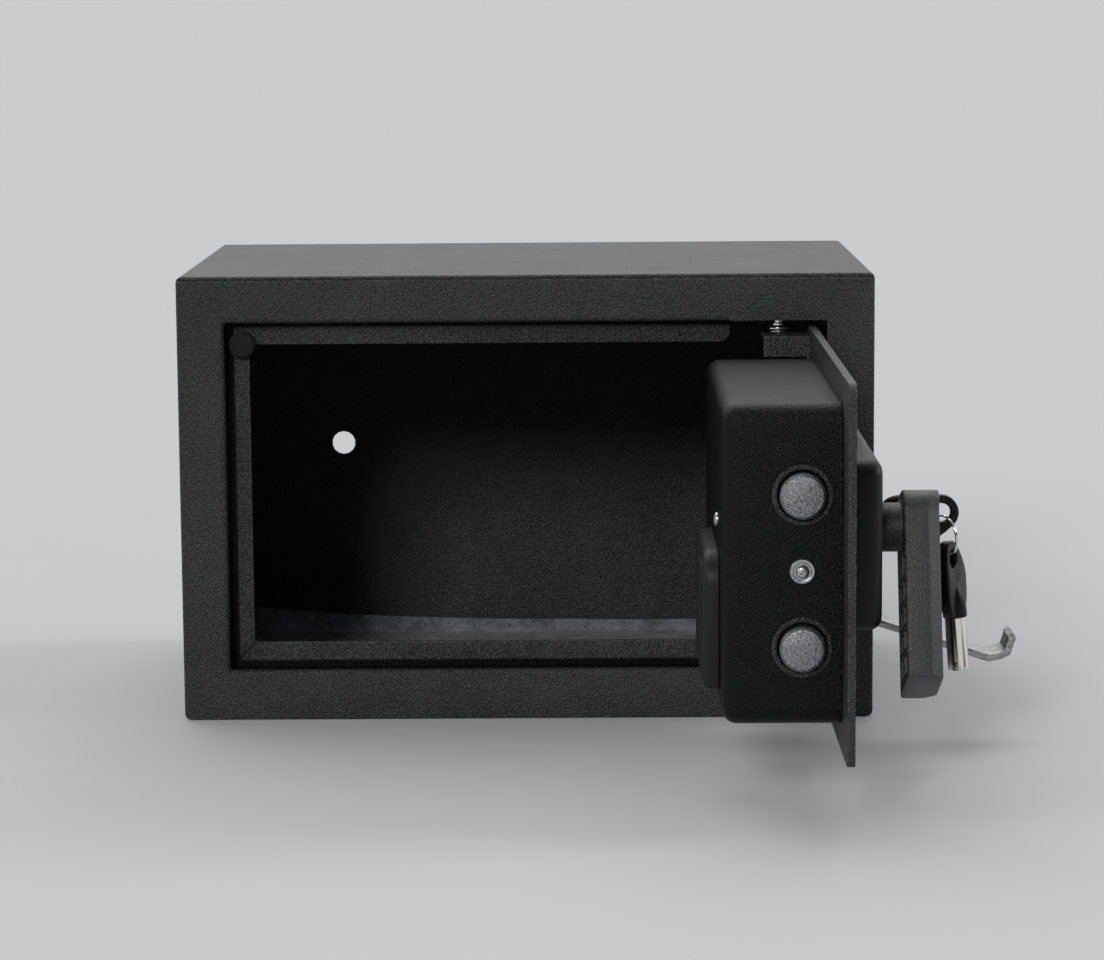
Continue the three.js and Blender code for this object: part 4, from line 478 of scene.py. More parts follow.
def smooth_plastic(name, first, second, rough, **values):
    material, tree, shader = start_material(name, **values)
    marks = use_group(tree, "marks", Scale=120)
    link(tones(marks["Mask"], first, second), shader.inputs["Base Color"])
    link(between(marks["Mask"], rough, rough + 0.05), shader.inputs["Roughness"])
    fine = use_group(tree, "grain", Scale=1600)
    bump(shader, fine["Height"], 0.00001)
    return material


grey_felt = felt_material()
solder_mask = smooth_plastic("solder_mask", (0.01, 0.09, 0.04), (0.015, 0.13, 0.06), 0.3)
red_lens = smooth_plastic("red_lens", (0.5, 0.01, 0.008), (0.62, 0.02, 0.012), 0.08, Coat_Weight=0.6)
green_lens = smooth_plastic("green_lens", (0.01, 0.4, 0.06), (0.02, 0.5, 0.08), 0.08, Coat_Weight=0.6)
cell_jacket = smooth_plastic("cell_jacket", (0.16, 0.17, 0.18), (0.2, 0.21, 0.22), 0.2, Coat_Weight=0.3)
figure_ink = smooth_plastic("figure_ink", (0.62, 0.63, 0.64), (0.7, 0.7, 0.71), 0.5)
bow_plastic = smooth_plastic("bow_plastic", (0.004, 0.004, 0.0045), (0.009, 0.009, 0.0095), 0.34,
                             Specular_IOR_Level=0.2)


def floor_material():
    material, tree, shader = start_material("studio_floor", Roughness=0.9, Specular_IOR_Level=0.1)
    marks = use_group(tree, "marks", Scale=2)
    pale = tones(marks["Mask"], (0.6, 0.605, 0.61), (0.61, 0.615, 0.62))
    rays = add(tree, "LightPath")
    seen = maths("ADD", rays.outputs["Is Camera Ray"], rays.outputs["Is Glossy Ray"])
    seen = maths("ADD", seen, rays.outputs["Is Transmission Ray"], clamp=True)
    link(tones(seen, (0.14, 0.14, 0.14), pale), shader.inputs["Base Color"])
    return material


floor.data.materials.append(floor_material())

# %% Finishes of the model's own parts
def paint(made, material):
    made.data.materials.clear()
    made.data.materials.append(material)


finishes = {
    powder_coat: ["case_shell", "front_frame", "back_panel", "door_plate", "hinge_ear_top",
                  "hinge_ear_bottom", "hinge_bracket_top", "hinge_bracket_bottom"],
    cover_coat: ["lock_cover"],
    black_moulding: ["control_panel", "battery_tray", "battery_door"],
    grey_moulding: ["handle_lever"],
    black_nylon: ["bolt_bushing_upper", "bolt_bushing_lower"],
    black_rubber: ["door_bumper"],
    key_rubber: [f"keypad_key_{i}" for i in range(1, 13)],
    grey_felt: ["floor_mat"],
    speckled_zinc: ["bolt_upper", "bolt_lower"],
    bright_zinc: ["bolt_carriage", "drive_cam", "cover_end_washer", "cover_end_screw", "handle_spindle",
                  "lock_cylinder", "hook_screw_upper", "hook_screw_lower", "solenoid_plunger"],
    nickel: ["hinge_pin_top", "hinge_pin_bottom", "cover_face_screw", "key_ring", "tether_hook",
             "inserted_key", "spare_key"],
    turned_brass: ["guide_post_upper", "guide_post_lower", "lock_plug"],
    copper_wire: ["solenoid_body"],
    solder_mask: ["circuit_board"],
    red_lens: ["led_red"],
    green_lens: ["led_green"],
    cell_jacket: [f"battery_cell_{i}" for i in range(1, 5)],
}
for material, names in finishes.items():
    for name in names:
        paint(nodes[name], material)
print("finished nodes:", sum(len(names) for names in finishes.values()), "of", len(nodes))

# %% [markdown]
# ## Modelling helpers
# Round parts are drawn as half a section and spun. Flat parts are drawn as an outline and extruded.
# Both start from a small plane merged to one point, which is extruded along the drawing.

# %% Drawing, spinning and extruding
SAME_PLACE, ON_PLANE = 1e-6, 1e-5


def take_all():
    bpy.ops.mesh.select_all(action="SELECT")


def extrude(step):
    bpy.ops.mesh.extrude_region_move(TRANSFORM_OT_translate={"value": step})


def draw_path(points):
    clear_selection()
    bpy.ops.mesh.primitive_plane_add(size=MM, location=(0, 0, 0))
    set_mode("EDIT")
    bpy.ops.mesh.select_mode(type="VERT")
    take_all()
    bpy.ops.mesh.merge(type="CENTER")
    bpy.ops.transform.translate(value=points[0])
    for before, after in zip(points, points[1:]):
        extrude(Vector(after) - Vector(before))
    take_all()


def called(made, name):
    made.name = name
    made.data.name = name
    return made


def close_up(name):
    take_all()
    bpy.ops.mesh.remove_doubles(threshold=SAME_PLACE)
    bpy.ops.mesh.normals_make_consistent(inside=False)
    set_mode("OBJECT")
    return called(bpy.context.object, name)


AXES = {"x": (1, 0, 0), "y": (0, 1, 0), "z": (0, 0, 1)}


def spun(name, axis, centre, section, steps=64):
    place = {"x": lambda r, a: (a, centre[1] + r, centre[2]),
             "y": lambda r, a: (centre[0] + r, a, centre[2]),
             "z": lambda r, a: (centre[0] + r, centre[1], a)}[axis]
    draw_path([place(radius, along) for radius, along in section])
    bpy.ops.mesh.spin(steps=steps, angle=2 * pi, center=centre, axis=AXES[axis])
    return close_up(name)


def extruded(name, outline, step):
    draw_path(outline)
    bpy.ops.mesh.edge_face_add()
    extrude(step)
    return close_up(name)


def block(name, low, high):
    clear_selection()
    centre = [(a + b) / 2 for a, b in zip(low, high)]
    bpy.ops.mesh.primitive_cube_add(size=1, location=centre)
    made = bpy.context.object
    made.scale = [b - a for a, b in zip(low, high)]
    bpy.ops.object.transform_apply()
    return called(made, name)


def mid_line(corners, axis, at=0):
    """The middle of a box, put at one place along an axis."""
    return tuple(at if name == axis else (low + high) / 2 for name, low, high in zip("xyz", *corners))


# %% [markdown]
# Edges and faces are picked by a test on their middle and their direction. Modifiers are applied,
# so that what is left is a plain mesh at the origin.

# %% Picking, modifiers and handing over
def choose(made):
    clear_selection()
    made.select_set(True)
    bpy.context.view_layer.objects.active = made


def pick(made, kind, test):
    choose(made)
    set_mode("EDIT")
    bpy.ops.mesh.select_mode(type=kind)
    bpy.ops.mesh.select_all(action="DESELECT")
    mesh = bmesh.from_edit_mesh(made.data)
    mesh.normal_update()
    if kind == "EDGE":
        ends = [[vertex.co for vertex in edge.verts] for edge in mesh.edges]
        found = [(edge, (a + b) / 2, (b - a).normalized()) for edge, (a, b) in zip(mesh.edges, ends)]
    elif kind == "VERT":
        found = [(vertex, vertex.co, vertex.normal) for vertex in mesh.verts]
    else:
        found = [(face, face.calc_center_median(), face.normal) for face in mesh.faces]
    for element, middle, way in found:
        if test(middle, way):
            element.select_set(True)
    mesh.select_flush_mode()
    bmesh.update_edit_mesh(made.data)


def modifier(made, kind, **settings):
    choose(made)
    added = made.modifiers.new(kind.lower(), kind)
    for key, value in settings.items():
        setattr(added, key, value)
    bpy.ops.object.modifier_apply(modifier=added.name)


def soften(made, width, segments, angle=30, clamp=True):
    modifier(made, "BEVEL", width=width, segments=segments, limit_method="ANGLE", angle_limit=radians(angle),
             use_clamp_overlap=clamp)


def combine(made, operation, *tools):
    for tool in tools:
        modifier(made, "BOOLEAN", operation=operation, object=tool, solver="EXACT")
        bpy.data.objects.remove(tool)


def carve(made, *tools):
    combine(made, "DIFFERENCE", *tools)


def hand_over(made, material, body, slot, *replaced, smooth=35):
    choose(made)
    bpy.ops.object.shade_smooth_by_angle(angle=radians(smooth))
    paint(made, material)
    if replaced:
        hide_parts(*replaced)
    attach(made, body)
    print("made", made.name, "with", len(made.data.polygons), "faces")

# %% [markdown]
# ## Bolts and their bushings
# A bolt is a zinc-plated steel rod with a turned chamfer at its end. The bushing that guides it is a
# nylon ring with a rounded collar. Both are spun from half a section.

# %% Bolts and bushings
def arc(centre, radius, start, end, steps):
    return [(centre[0] + radius * cos(radians(start + (end - start) * i / steps)),
             centre[1] + radius * sin(radians(start + (end - start) * i / steps))) for i in range(steps + 1)]


def bolt_piece(level):
    low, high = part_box(f"bolt_{level}")
    centre = mid_line((low, high), "y")
    radius = (high[0] - low[0]) / 2
    chamfer, round_off = 1.1 * MM, 0.3 * MM
    section = [(0, low[1]), (radius - chamfer - round_off, low[1]), (radius - chamfer, low[1] + 0.1 * MM),
               (radius - 0.15 * MM, low[1] + chamfer - 0.1 * MM), (radius, low[1] + chamfer + 0.1 * MM),
               (radius, high[1]), (0, high[1])]
    made = spun(f"bolt_{level}_turned", "y", centre, section, 96)
    hand_over(made, speckled_zinc, "bolts", "zinc_plate", f"bolt_{level}", smooth=25)


def bushing_piece(level):
    low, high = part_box(f"bolt_bushing_{level}")
    centre = mid_line((low, high), "y")
    outer, bore, body = (high[0] - low[0]) / 2, 9.9 * MM, 10.8 * MM
    face, seat = low[1], low[1] + 0.95 * MM
    lip = 0.55 * MM
    section = [(bore, high[1]), (bore, face + lip)]
    section += arc((bore + lip, face + lip), lip, 180, 270, 5)
    section += arc((outer - lip, face + lip), lip, 270, 360, 5)
    section += [(outer, seat), (body, seat), (body, high[1]), (bore, high[1])]
    made = spun(f"bushing_{level}_turned", "y", centre, section, 96)
    hand_over(made, black_nylon, "door", "black_nylon", f"bolt_bushing_{level}")


for level in ("upper", "lower"):
    bolt_piece(level)
    bushing_piece(level)

# %% [markdown]
# ## Screws and the washer
# The screws are pan heads with a cross recess. The head is spun, and two narrow wedges that cross
# are cut out of it with a Boolean modifier. A wedge is a cube whose lower face is drawn in.

# %% Placing a piece that is modelled at the origin
def set_in_place(made, matrix):
    made.data.transform(matrix)
    made.data.update()
    return made


def along_axis(origin, direction, turn=0.0):
    aim = Vector(direction).to_track_quat("Z", "Y").to_matrix().to_4x4()
    return Matrix.Translation(origin) @ aim @ Matrix.Rotation(radians(turn), 4, "Z")


# %% Cross-headed screws
def wedge(length, width, depth):
    made = block("wedge", (-length / 2, -width / 2, -depth), (length / 2, width / 2, 1 * MM))
    pick(made, "FACE", lambda middle, normal: normal.z < -0.5)
    bpy.ops.transform.resize(value=(0.45, 0.7, 1), center_override=(0, 0, -depth))
    set_mode("OBJECT")
    return made


def cross_screw(name, node, direction, height, turn):
    low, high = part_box(node)
    axis = max(range(3), key=lambda i: abs(direction[i]))
    tip = list((Vector(low) + Vector(high)) / 2)
    tip[axis] = high[axis] if direction[axis] > 0 else low[axis]
    radius = min(high[i] - low[i] for i in range(3) if i != axis) / 2
    length, shank = high[axis] - low[axis], 1.45 * MM
    section = [(0, 0), (radius * 0.5, -0.05 * height), (radius * 0.8, -0.25 * height),
               (radius * 0.96, -0.55 * height), (radius, -0.85 * height), (radius, -height),
               (shank, -height), (shank, -length + 0.3 * MM), (shank - 0.3 * MM, -length), (0, -length)]
    made = spun(name, "z", (0, 0, 0), section, 48)
    for angle in (0, 90):
        tool = wedge(radius * 1.15, radius * 0.26, height * 0.75)
        carve(made, set_in_place(tool, Matrix.Rotation(radians(angle), 4, "Z")))
    set_in_place(made, along_axis(tip, direction, turn))
    hand_over(made, bright_zinc, "door", "zinc_plate", node)


cross_screw("end_screw_turned", "cover_end_screw", (0, -1, 0), 1.7 * MM, 28)
cross_screw("face_screw_turned", "cover_face_screw", (-1, 0, 0), 1.6 * MM, 12)
cross_screw("hook_screw_lower_turned", "hook_screw_lower", (1, 0, 0), 1.6 * MM, 40)
cross_screw("hook_screw_upper_turned", "hook_screw_upper", (1, 0, 0), 1.6 * MM, 75)


# %% Washer
def washer_piece():
    low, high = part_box("cover_end_washer")
    centre = mid_line((low, high), "y")
    outer, bore = (high[0] - low[0]) / 2, 1.75 * MM
    face = low[1]
    section = [(bore, high[1]), (bore, face + 0.25 * MM), (outer * 0.7, face + 0.25 * MM),
               (outer * 0.75, face + 0.05 * MM), (outer * 0.8, face), (outer - 0.25 * MM, face),
               (outer, face + 0.25 * MM), (outer, high[1]), (bore, high[1])]
    made = spun("washer_turned", "y", centre, section, 72)
    hand_over(made, bright_zinc, "door", "zinc_plate", "cover_end_washer")


washer_piece()

# %% [markdown]
# ## Hinge pins
# Each pin has a broad flange that carries the door's ear, with a thin washer below it. The same
# section serves both ends of the door, upside down at the lower one.

# %% Hinge pins
def hinge_pin(end, up):
    low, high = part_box(f"hinge_pin_{end}")
    centre = mid_line((low, high), "z")
    tail = low[2] if up > 0 else high[2]
    steps = [(0, 0), (2, 0), (2.65, 0.8), (2.65, 4.15), (5.1, 4.15), (5.3, 4.35), (5.3, 4.7), (5.1, 4.9),
             (2.65, 4.9), (2.65, 5.5), (5.9, 5.5), (6.2, 5.8), (6.25, 6.2), (6.1, 6.7), (5.7, 7.05),
             (4.1, 7.1), (3.9, 7.3), (3.9, 8), (3.6, 8.3), (2.65, 8.3), (2.65, 14.7), (2, 15.5), (0, 15.5)]
    section = [(radius * MM, tail + up * height * MM) for radius, height in steps]
    made = spun(f"hinge_pin_{end}_turned", "z", centre, section, 64)
    hand_over(made, nickel, "case", "bright_steel", f"hinge_pin_{end}")


hinge_pin("top", 1)
hinge_pin("bottom", -1)

# %% [markdown]
# ## Lock cover
# The cover is a pressed steel box. A cube is rounded along its four short edges, then round its
# face. The open back is deleted, and Solidify gives the sheet its thickness, inwards. The holes are
# cut last, so that their edges stay crisp.

# %% Rounding chosen edges and making a shell
def round_edges(made, test, width, segments):
    pick(made, "EDGE", test)
    bpy.ops.mesh.bevel(offset=width, segments=segments, profile=0.5, affect="EDGES", clamp_overlap=True)
    set_mode("OBJECT")


def shell(made, open_side, thickness):
    pick(made, "FACE", open_side)
    bpy.ops.mesh.delete(type="FACE")
    set_mode("OBJECT")
    modifier(made, "SOLIDIFY", thickness=thickness, offset=-1, use_even_offset=True)


def cylinder(centre, radius, length, axis, steps=64):
    clear_selection()
    turn = {"x": (0, pi / 2, 0), "y": (pi / 2, 0, 0), "z": (0, 0, 0)}[axis]
    bpy.ops.mesh.primitive_cylinder_add(vertices=steps, radius=radius, depth=length, location=centre, rotation=turn)
    bpy.ops.object.transform_apply()
    return bpy.context.object


def across(axis):
    """True for an edge that runs along that axis."""
    return lambda middle, way: abs(way["xyz".index(axis)]) > 0.99


def round_the_face(x):
    """True for an edge at that x which does not run along x."""
    return lambda middle, way: abs(middle.x - x) < ON_PLANE and abs(way.x) < 0.01


# %% Lock cover
def cover_piece():
    low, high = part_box("lock_cover")
    made = block("lock_cover_pressed", low, high)
    round_edges(made, across("x"), 7.5 * MM, 10)
    round_edges(made, round_the_face(low[0]), 6 * MM, 10)
    shell(made, lambda middle, normal: normal.x > 0.9, 1.4 * MM)
    screw_hole, slack = 1.7 * MM, 0.15 * MM
    holes = [cylinder(mid_line(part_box(f"bolt_{level}"), "y", low[1]), 10.9 * MM, 12 * MM, "y")
             for level in ("upper", "lower")]
    holes.append(cylinder(mid_line(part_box("cover_end_screw"), "y", low[1]), screw_hole, 12 * MM, "y", 32))
    holes.append(cylinder(mid_line(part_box("cover_face_screw"), "x", low[0]), screw_hole, 8 * MM, "x", 32))
    tray_low, tray_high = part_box("battery_tray")
    holes.append(block("opening", (low[0] - 5 * MM, tray_low[1] - slack, tray_low[2] - slack),
                       (low[0] + 5 * MM, tray_high[1] + slack, tray_high[2] + slack)))
    carve(made, *holes)
    hand_over(made, cover_coat, "door", "painted_steel", "lock_cover", smooth=40)


cover_piece()

# %% [markdown]
# ## Battery door
# The lid is a shallow rounded moulding with larger corners at its top. A scoop for the thumb is cut
# into it with a sphere, and three grooves give grip.

# %% Battery door
def battery_lid_piece():
    low, high = (Vector(corner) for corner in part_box("battery_door"))
    low.x += 0.6 * MM
    made = block("battery_door_moulded", low, high)
    round_edges(made, lambda middle, way: abs(way.x) > 0.99 and middle.z > 0.09, 13 * MM, 12)
    round_edges(made, lambda middle, way: abs(way.x) > 0.99 and middle.z < 0.06, 4 * MM, 6)
    round_edges(made, round_the_face(low.x), 3.4 * MM, 8)
    shell(made, lambda middle, normal: normal.x > 0.9, 1.5 * MM)
    middle_y = (low.y + high.y) / 2
    grooves = []
    for i in range(3):
        y = middle_y + (10 + 5 * i) * MM
        grooves.append(cylinder((low.x - 0.7 * MM, y, 0.076), 1.4 * MM, 34 * MM, "z", 32))
    carve(made, *grooves)
    catch = block("catch", (low.x - 0.6 * MM, low.y + 5 * MM, high.z - 20 * MM),
                  (low.x + 1.4 * MM, low.y + 29 * MM, high.z - 4.5 * MM))
    round_edges(catch, across("x"), 3 * MM, 6)
    round_edges(catch, round_the_face(low.x - 0.6 * MM), 0.5 * MM, 3)
    combine(made, "UNION", catch)
    clear_selection()
    bpy.ops.mesh.primitive_uv_sphere_add(segments=48, ring_count=24, radius=1,
                                         location=(low.x - 5.2 * MM, low.y + 17 * MM, high.z - 12 * MM))
    scoop = bpy.context.object
    scoop.scale = (6 * MM, 9 * MM, 6 * MM)
    bpy.ops.object.transform_apply()
    carve(made, scoop)
    hand_over(made, black_moulding, "battery_lid", "black_plastic", "battery_door")


battery_lid_piece()

# %% [markdown]
# ## Keys
# Both keys are alike, so the bow is modelled once and copied. It is a flat black moulding with a round
# lobe at one corner, a hole in the lobe, and a collar round the barrel. The barrel is a nickel tube
# whose end has the cuts that the lock reads, as tubular keys have.

# %% Where the keys and the ring hang
OPEN_DOOR = Matrix.Rotation(pi / 2, 4, "Z")
OUTWARD = Matrix(((0, -1, 0, 0), (0, 0, -1, 0), (1, 0, 0, 0), (0, 0, 0, 1)))
RING_R, RING_LEAN, RING_TURN, SPARE_LEAN = 8.3 * MM, 8, 27, 4.5
inserted_place = Matrix.Translation((0.1496, -0.2, 0.1048)) @ OPEN_DOOR @ OUTWARD
ring_place = (Matrix.Translation((0.1754, -0.2, 0.1063)) @ OPEN_DOOR @ Matrix.Rotation(-radians(RING_LEAN), 4, "X")
              @ Matrix.Translation((0, 0, -RING_R)) @ Matrix.Rotation(radians(RING_TURN), 4, "Z"))
spare_place = (Matrix.Translation((0.17771, -0.2, 0.08816)) @ OPEN_DOOR
               @ Matrix.Rotation(-radians(SPARE_LEAN), 4, "X") @ Matrix.Rotation(radians(180 - RING_TURN), 4, "Z")
               @ Matrix.Translation((-0.003, 0, -0.0248)))


# %% The bow
def curve_through(start, control, end, steps):
    points = []
    for i in range(1, steps + 1):
        t = i / steps
        points.append(tuple((1 - t) ** 2 * a + 2 * t * (1 - t) * b + t * t * c
                            for a, b, c in zip(start, control, end)))
    return points


def key_bow(name):
    half, neck, lobe, length = 10.4, 5.4, 7.4, 32.2
    middle = (half - lobe, length - lobe)
    outline = [(-neck, 0), (neck, 0)]
    outline += curve_through((neck, 0), (half - 0.6, 1), (half, 9), 6)
    outline += arc(middle, lobe, 0, 135, 22)
    outline += curve_through(outline[-1], (-half, 21.5), (-half, 15.5), 5)
    outline += curve_through((-half, 15.5), (-half, 2), (-neck, 0), 8)[:-1]
    points = [(x * MM, -2.4 * MM, z * MM) for x, z in outline]
    made = extruded(name, points, (0, 4.8 * MM, 0))
    carve(made, cylinder((middle[0] * MM, 0, middle[1] * MM), 4 * MM, 20 * MM, "y", 48))
    soften(made, 0.85 * MM, 4, 50)
    steps = [(0, -0.6), (4.9, -0.6), (5.1, -0.4), (5.1, 2.5), (4.8, 6), (4, 9.5), (2.9, 12.5), (2.1, 14), (0, 14.2)]
    collar = spun("collar", "z", (0, 0, 0), [(radius * MM, z * MM) for radius, z in steps], 48)
    combine(made, "UNION", collar)
    return made


def copied(made, name, matrix):
    copy = bpy.data.objects.new(name, made.data.copy())
    bpy.context.scene.collection.objects.link(copy)
    return set_in_place(copy, matrix)


spare_bow = key_bow("spare_key_bow")
inserted_bow = copied(spare_bow, "inserted_key_bow", inserted_place)
set_in_place(spare_bow, spare_place)
hand_over(inserted_bow, bow_plastic, "lock", "black_plastic", "inserted_key")
hand_over(spare_bow, bow_plastic, "spare", "black_plastic", "spare_key")


# %% The barrels
def reflection_striped_tube(name, turn):
    """Nickel with a painted reflection of dark and bright stripes along the tube; this rotation stands its axis
    upright.
    """
    material, tree, shader = start_material(name, Metallic=1.0, Roughness=0.16)
    upright = add(tree, "Mapping")
    upright.inputs["Rotation"].default_value = turn
    link(add(tree, "TexCoord").outputs["Object"], upright.inputs["Vector"])
    stretch = add(tree, "Mapping")
    stretch.inputs["Scale"].default_value = (1, 1, 0.015)
    link(upright.outputs["Vector"], stretch.inputs["Vector"])
    reflection_stripes = texture(tree, "TexNoise", 520, stretch.outputs["Vector"], Detail=2, Roughness=0.6)
    # Painted reflection: the base colour runs between a dark brown and a bright tone in stripes along the tube.
    colour = tones(spread(reflection_stripes["Fac"], 0.44, 0.56), (0.1, 0.075, 0.05), (0.9, 0.87, 0.8))
    link(colour, shader.inputs["Base Color"])
    return material


def key_barrel(name, length):
    tip, radius, bore = -length * MM, 4.4 * MM, 2.9 * MM
    section = [(bore, tip), (4.1 * MM, tip), (radius, tip + 0.3 * MM), (radius, -0.7 * MM),
               (radius, 0.5 * MM), (bore, 0.5 * MM), (bore, tip)]
    made = spun(name, "z", (0, 0, 0), section, 72)
    cuts = []
    for i, depth in enumerate((2.2, 1.4, 2.8, 1.8, 2.5, 1.2, 2)):
        angle = radians(360 * (i + 0.5) / 8)
        place = (radius * cos(angle), radius * sin(angle), tip)
        cuts.append(cylinder(place, 0.75 * MM, 2 * depth * MM, "z", 16))
    carve(made, *cuts)
    nib = block("nib", (3.6 * MM, -0.8 * MM, tip + 1.5 * MM), (5.1 * MM, 0.8 * MM, tip + 3.6 * MM))
    soften(nib, 0.3 * MM, 2)
    combine(made, "UNION", nib)
    return made


inserted_barrel = set_in_place(key_barrel("inserted_key_barrel", 17), inserted_place)
hand_over(inserted_barrel, reflection_striped_tube("inserted_tube", (0, pi / 2, 0)), "lock", "key")
spare_barrel = set_in_place(key_barrel("spare_key_barrel", 23), spare_place)
upright = spare_place.to_3x3().inverted().to_euler()
hand_over(spare_barrel, reflection_striped_tube("spare_tube", tuple(upright)), "spare", "key")

# %% [markdown]
# ## Split ring
# A split ring is one wire wound round twice. A small circle is carried round by the Screw modifier,
# almost two turns, climbing a little more than its own thickness at each, and its ends are closed.

# %% Split ring
def ring_piece():
    clear_selection()
    bpy.ops.mesh.primitive_circle_add(vertices=12, radius=0.42 * MM, location=(RING_R, 0, 0))
    bpy.ops.object.transform_apply()
    made = bpy.context.object
    modifier(made, "SCREW", axis="Y", angle=radians(690), screw_offset=0.9 * MM, steps=180, render_steps=180,
             use_smooth_shade=True)
    choose(made)
    set_mode("EDIT")
    take_all()
    bpy.ops.mesh.fill_holes(sides=0)
    made = close_up("split_ring_wound")
    set_in_place(made, ring_place @ Matrix.Translation((0, -0.45 * MM, 0)))
    hand_over(made, nickel, "ring", "bright_steel", "key_ring", smooth=60)


ring_piece()

# %% [markdown]
# ## Tether hook
# The hook is a strip that was bent in a press, so it is drawn as one line, pulled to its width, given
# its thickness with Solidify, and its edges are broken with a small bevel. Its tip was cut off at a
# slant, so the far corner is moved back along the strip.

# %% Tether hook
HOOK_REACH, HOOK_THICK, HOOK_SIDE = 68.9 * MM, 3 * MM, 1 / 6
# Each flat's share of the reach, and its heading in degrees.
HOOK_FLATS = ((0.99, -18.4), (0.076, 12), (0.046, 26), (0.094, 72), (0.062, 124))
SLANT, SLANT_WAY = 2.8 * MM, radians(-56)
hook_nickel = plated("hook_nickel", (0.16, 0.16, 0.16), (0.6, 0.6, 0.59), 0.42, 0.0003, (0.12, 1, 0.6), 1300)


def hook_piece():
    low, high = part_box("tether_hook")
    foot_x, bend_z = low[0] + 1.28 * MM, high[2] - 4.7 * MM
    line = [(foot_x, bend_z - 17 * MM)]
    line += [(foot_x + 3.5 * MM + x, bend_z + z) for x, z in arc((0, 0), 3.5 * MM, 180, 71.6, 8)]
    for share, heading in HOOK_FLATS:
        x, z = line[-1]
        line.append((x + HOOK_REACH * share * cos(radians(heading)), z + HOOK_REACH * share * sin(radians(heading))))
    draw_path([(x, low[1], z) for x, z in line])
    extrude((0, high[1] - low[1], 0))
    made = close_up("tether_hook_bent")
    tip = line[-1]
    pick(made, "VERT", lambda place, normal: (place - Vector((tip[0], high[1], tip[1]))).length < ON_PLANE)
    bpy.ops.transform.translate(value=(SLANT * cos(SLANT_WAY), 0, SLANT * sin(SLANT_WAY)))
    set_mode("OBJECT")
    modifier(made, "SOLIDIFY", thickness=HOOK_THICK, offset=HOOK_SIDE, use_even_offset=True)
    for level in ("lower", "upper"):
        carve(made, cylinder(mid_line(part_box(f"hook_screw_{level}"), "x", low[0]), 1.8 * MM, 12 * MM, "x", 32))
    soften(made, 0.3 * MM, 2, 25)
    hand_over(made, hook_nickel, "door", "bright_steel", "tether_hook", smooth=50)


hook_piece()

# %% [markdown]
# ## Lever, panel and frame
# The lever's lofted form, with the bevel that runs out below its head, is in the model already. So its
# mesh is copied, merged and cleaned, and a narrow Bevel modifier rounds every sharp edge. The panel
# and the frame are finished the same way. The frame then gets a groove at its upper front edge, and
# a fine cut for each mitre joint of its stop.

# %% Finer copies
def finer_copy(node, name, width, segments=3, angle=40):
    made = copied(nodes[node], name, Matrix())
    choose(made)
    set_mode("EDIT")
    take_all()
    bpy.ops.mesh.remove_doubles(threshold=2e-6)
    bpy.ops.mesh.dissolve_limited(angle_limit=radians(1))
    set_mode("OBJECT")
    soften(made, width, segments, angle, clamp=False)
    return made


OPENING_HALF, OPENING_LOW, OPENING_TOP, STOP_DEPTH = 134 * MM, 22.5 * MM, 179 * MM, 8.5 * MM
MITRE_LENGTH, MITRE_HALF_WIDTH, MITRE_DEPTH, MITRE_ANGLE = 15.4 * MM, 0.22 * MM, 0.5 * MM, radians(47)


def frame_piece():
    low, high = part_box("front_frame")
    made = finer_copy("front_frame", "frame_pressed", 0.25 * MM, 2, 55)
    cuts = [block("groove", (low[0] - 1 * MM, low[1] - 1 * MM, high[2] - 2 * MM),
                  (high[0] + 1 * MM, low[1] + 0.7 * MM, high[2] - 1.2 * MM))]
    for z, way in ((OPENING_LOW, 1), (OPENING_TOP, -1)):
        joint = block("joint", (0, -MITRE_DEPTH, -MITRE_HALF_WIDTH), (MITRE_LENGTH, MITRE_DEPTH, MITRE_HALF_WIDTH))
        corner = Matrix.Translation((-OPENING_HALF, low[1] + STOP_DEPTH, z))
        cuts.append(set_in_place(joint, corner @ Matrix.Rotation(-way * MITRE_ANGLE, 4, "Y")))
    carve(made, *cuts)
    hand_over(made, frame_coat_shaded, "case", "painted_steel", "front_frame", smooth=32)


frame_piece()
hand_over(finer_copy("handle_lever", "lever_moulded", 0.35 * MM), grey_moulding, "handle", "grey_plastic",
          "handle_lever", smooth=32)
hand_over(finer_copy("control_panel", "panel_moulded", 0.25 * MM, 2), black_moulding, "door", "black_plastic",
          "control_panel", smooth=32)

# %% [markdown]
# ## Lock
# The lock's case is a turned zinc-plated ring with a bevelled rim.

# %% Lock cylinder
def lock_piece():
    low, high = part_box("lock_cylinder")
    centre = mid_line((low, high), "x")
    front, rim = high[0], 9.5 * MM
    section = [(6.5 * MM, low[0]), (8 * MM, low[0]), (8 * MM, front - 4.9 * MM), (rim, front - 4.9 * MM),
               (rim, front - 1.5 * MM), (rim - 0.15 * MM, front - 1.1 * MM), (rim - 1.1 * MM, front - 0.1 * MM),
               (rim - 1.4 * MM, front), (7.2 * MM, front), (6.6 * MM, front - 0.6 * MM), (6.5 * MM, front - 1.2 * MM),
               (6.5 * MM, low[0])]
    made = spun("lock_cylinder_turned", "x", centre, section, 96)
    hand_over(made, bright_zinc, "door", "zinc_plate", "lock_cylinder")


lock_piece()

# %% [markdown]
# ## Figures on the keypad
# The figures are text that is turned into a mesh and sunk onto its key. Each one rides on its own key.

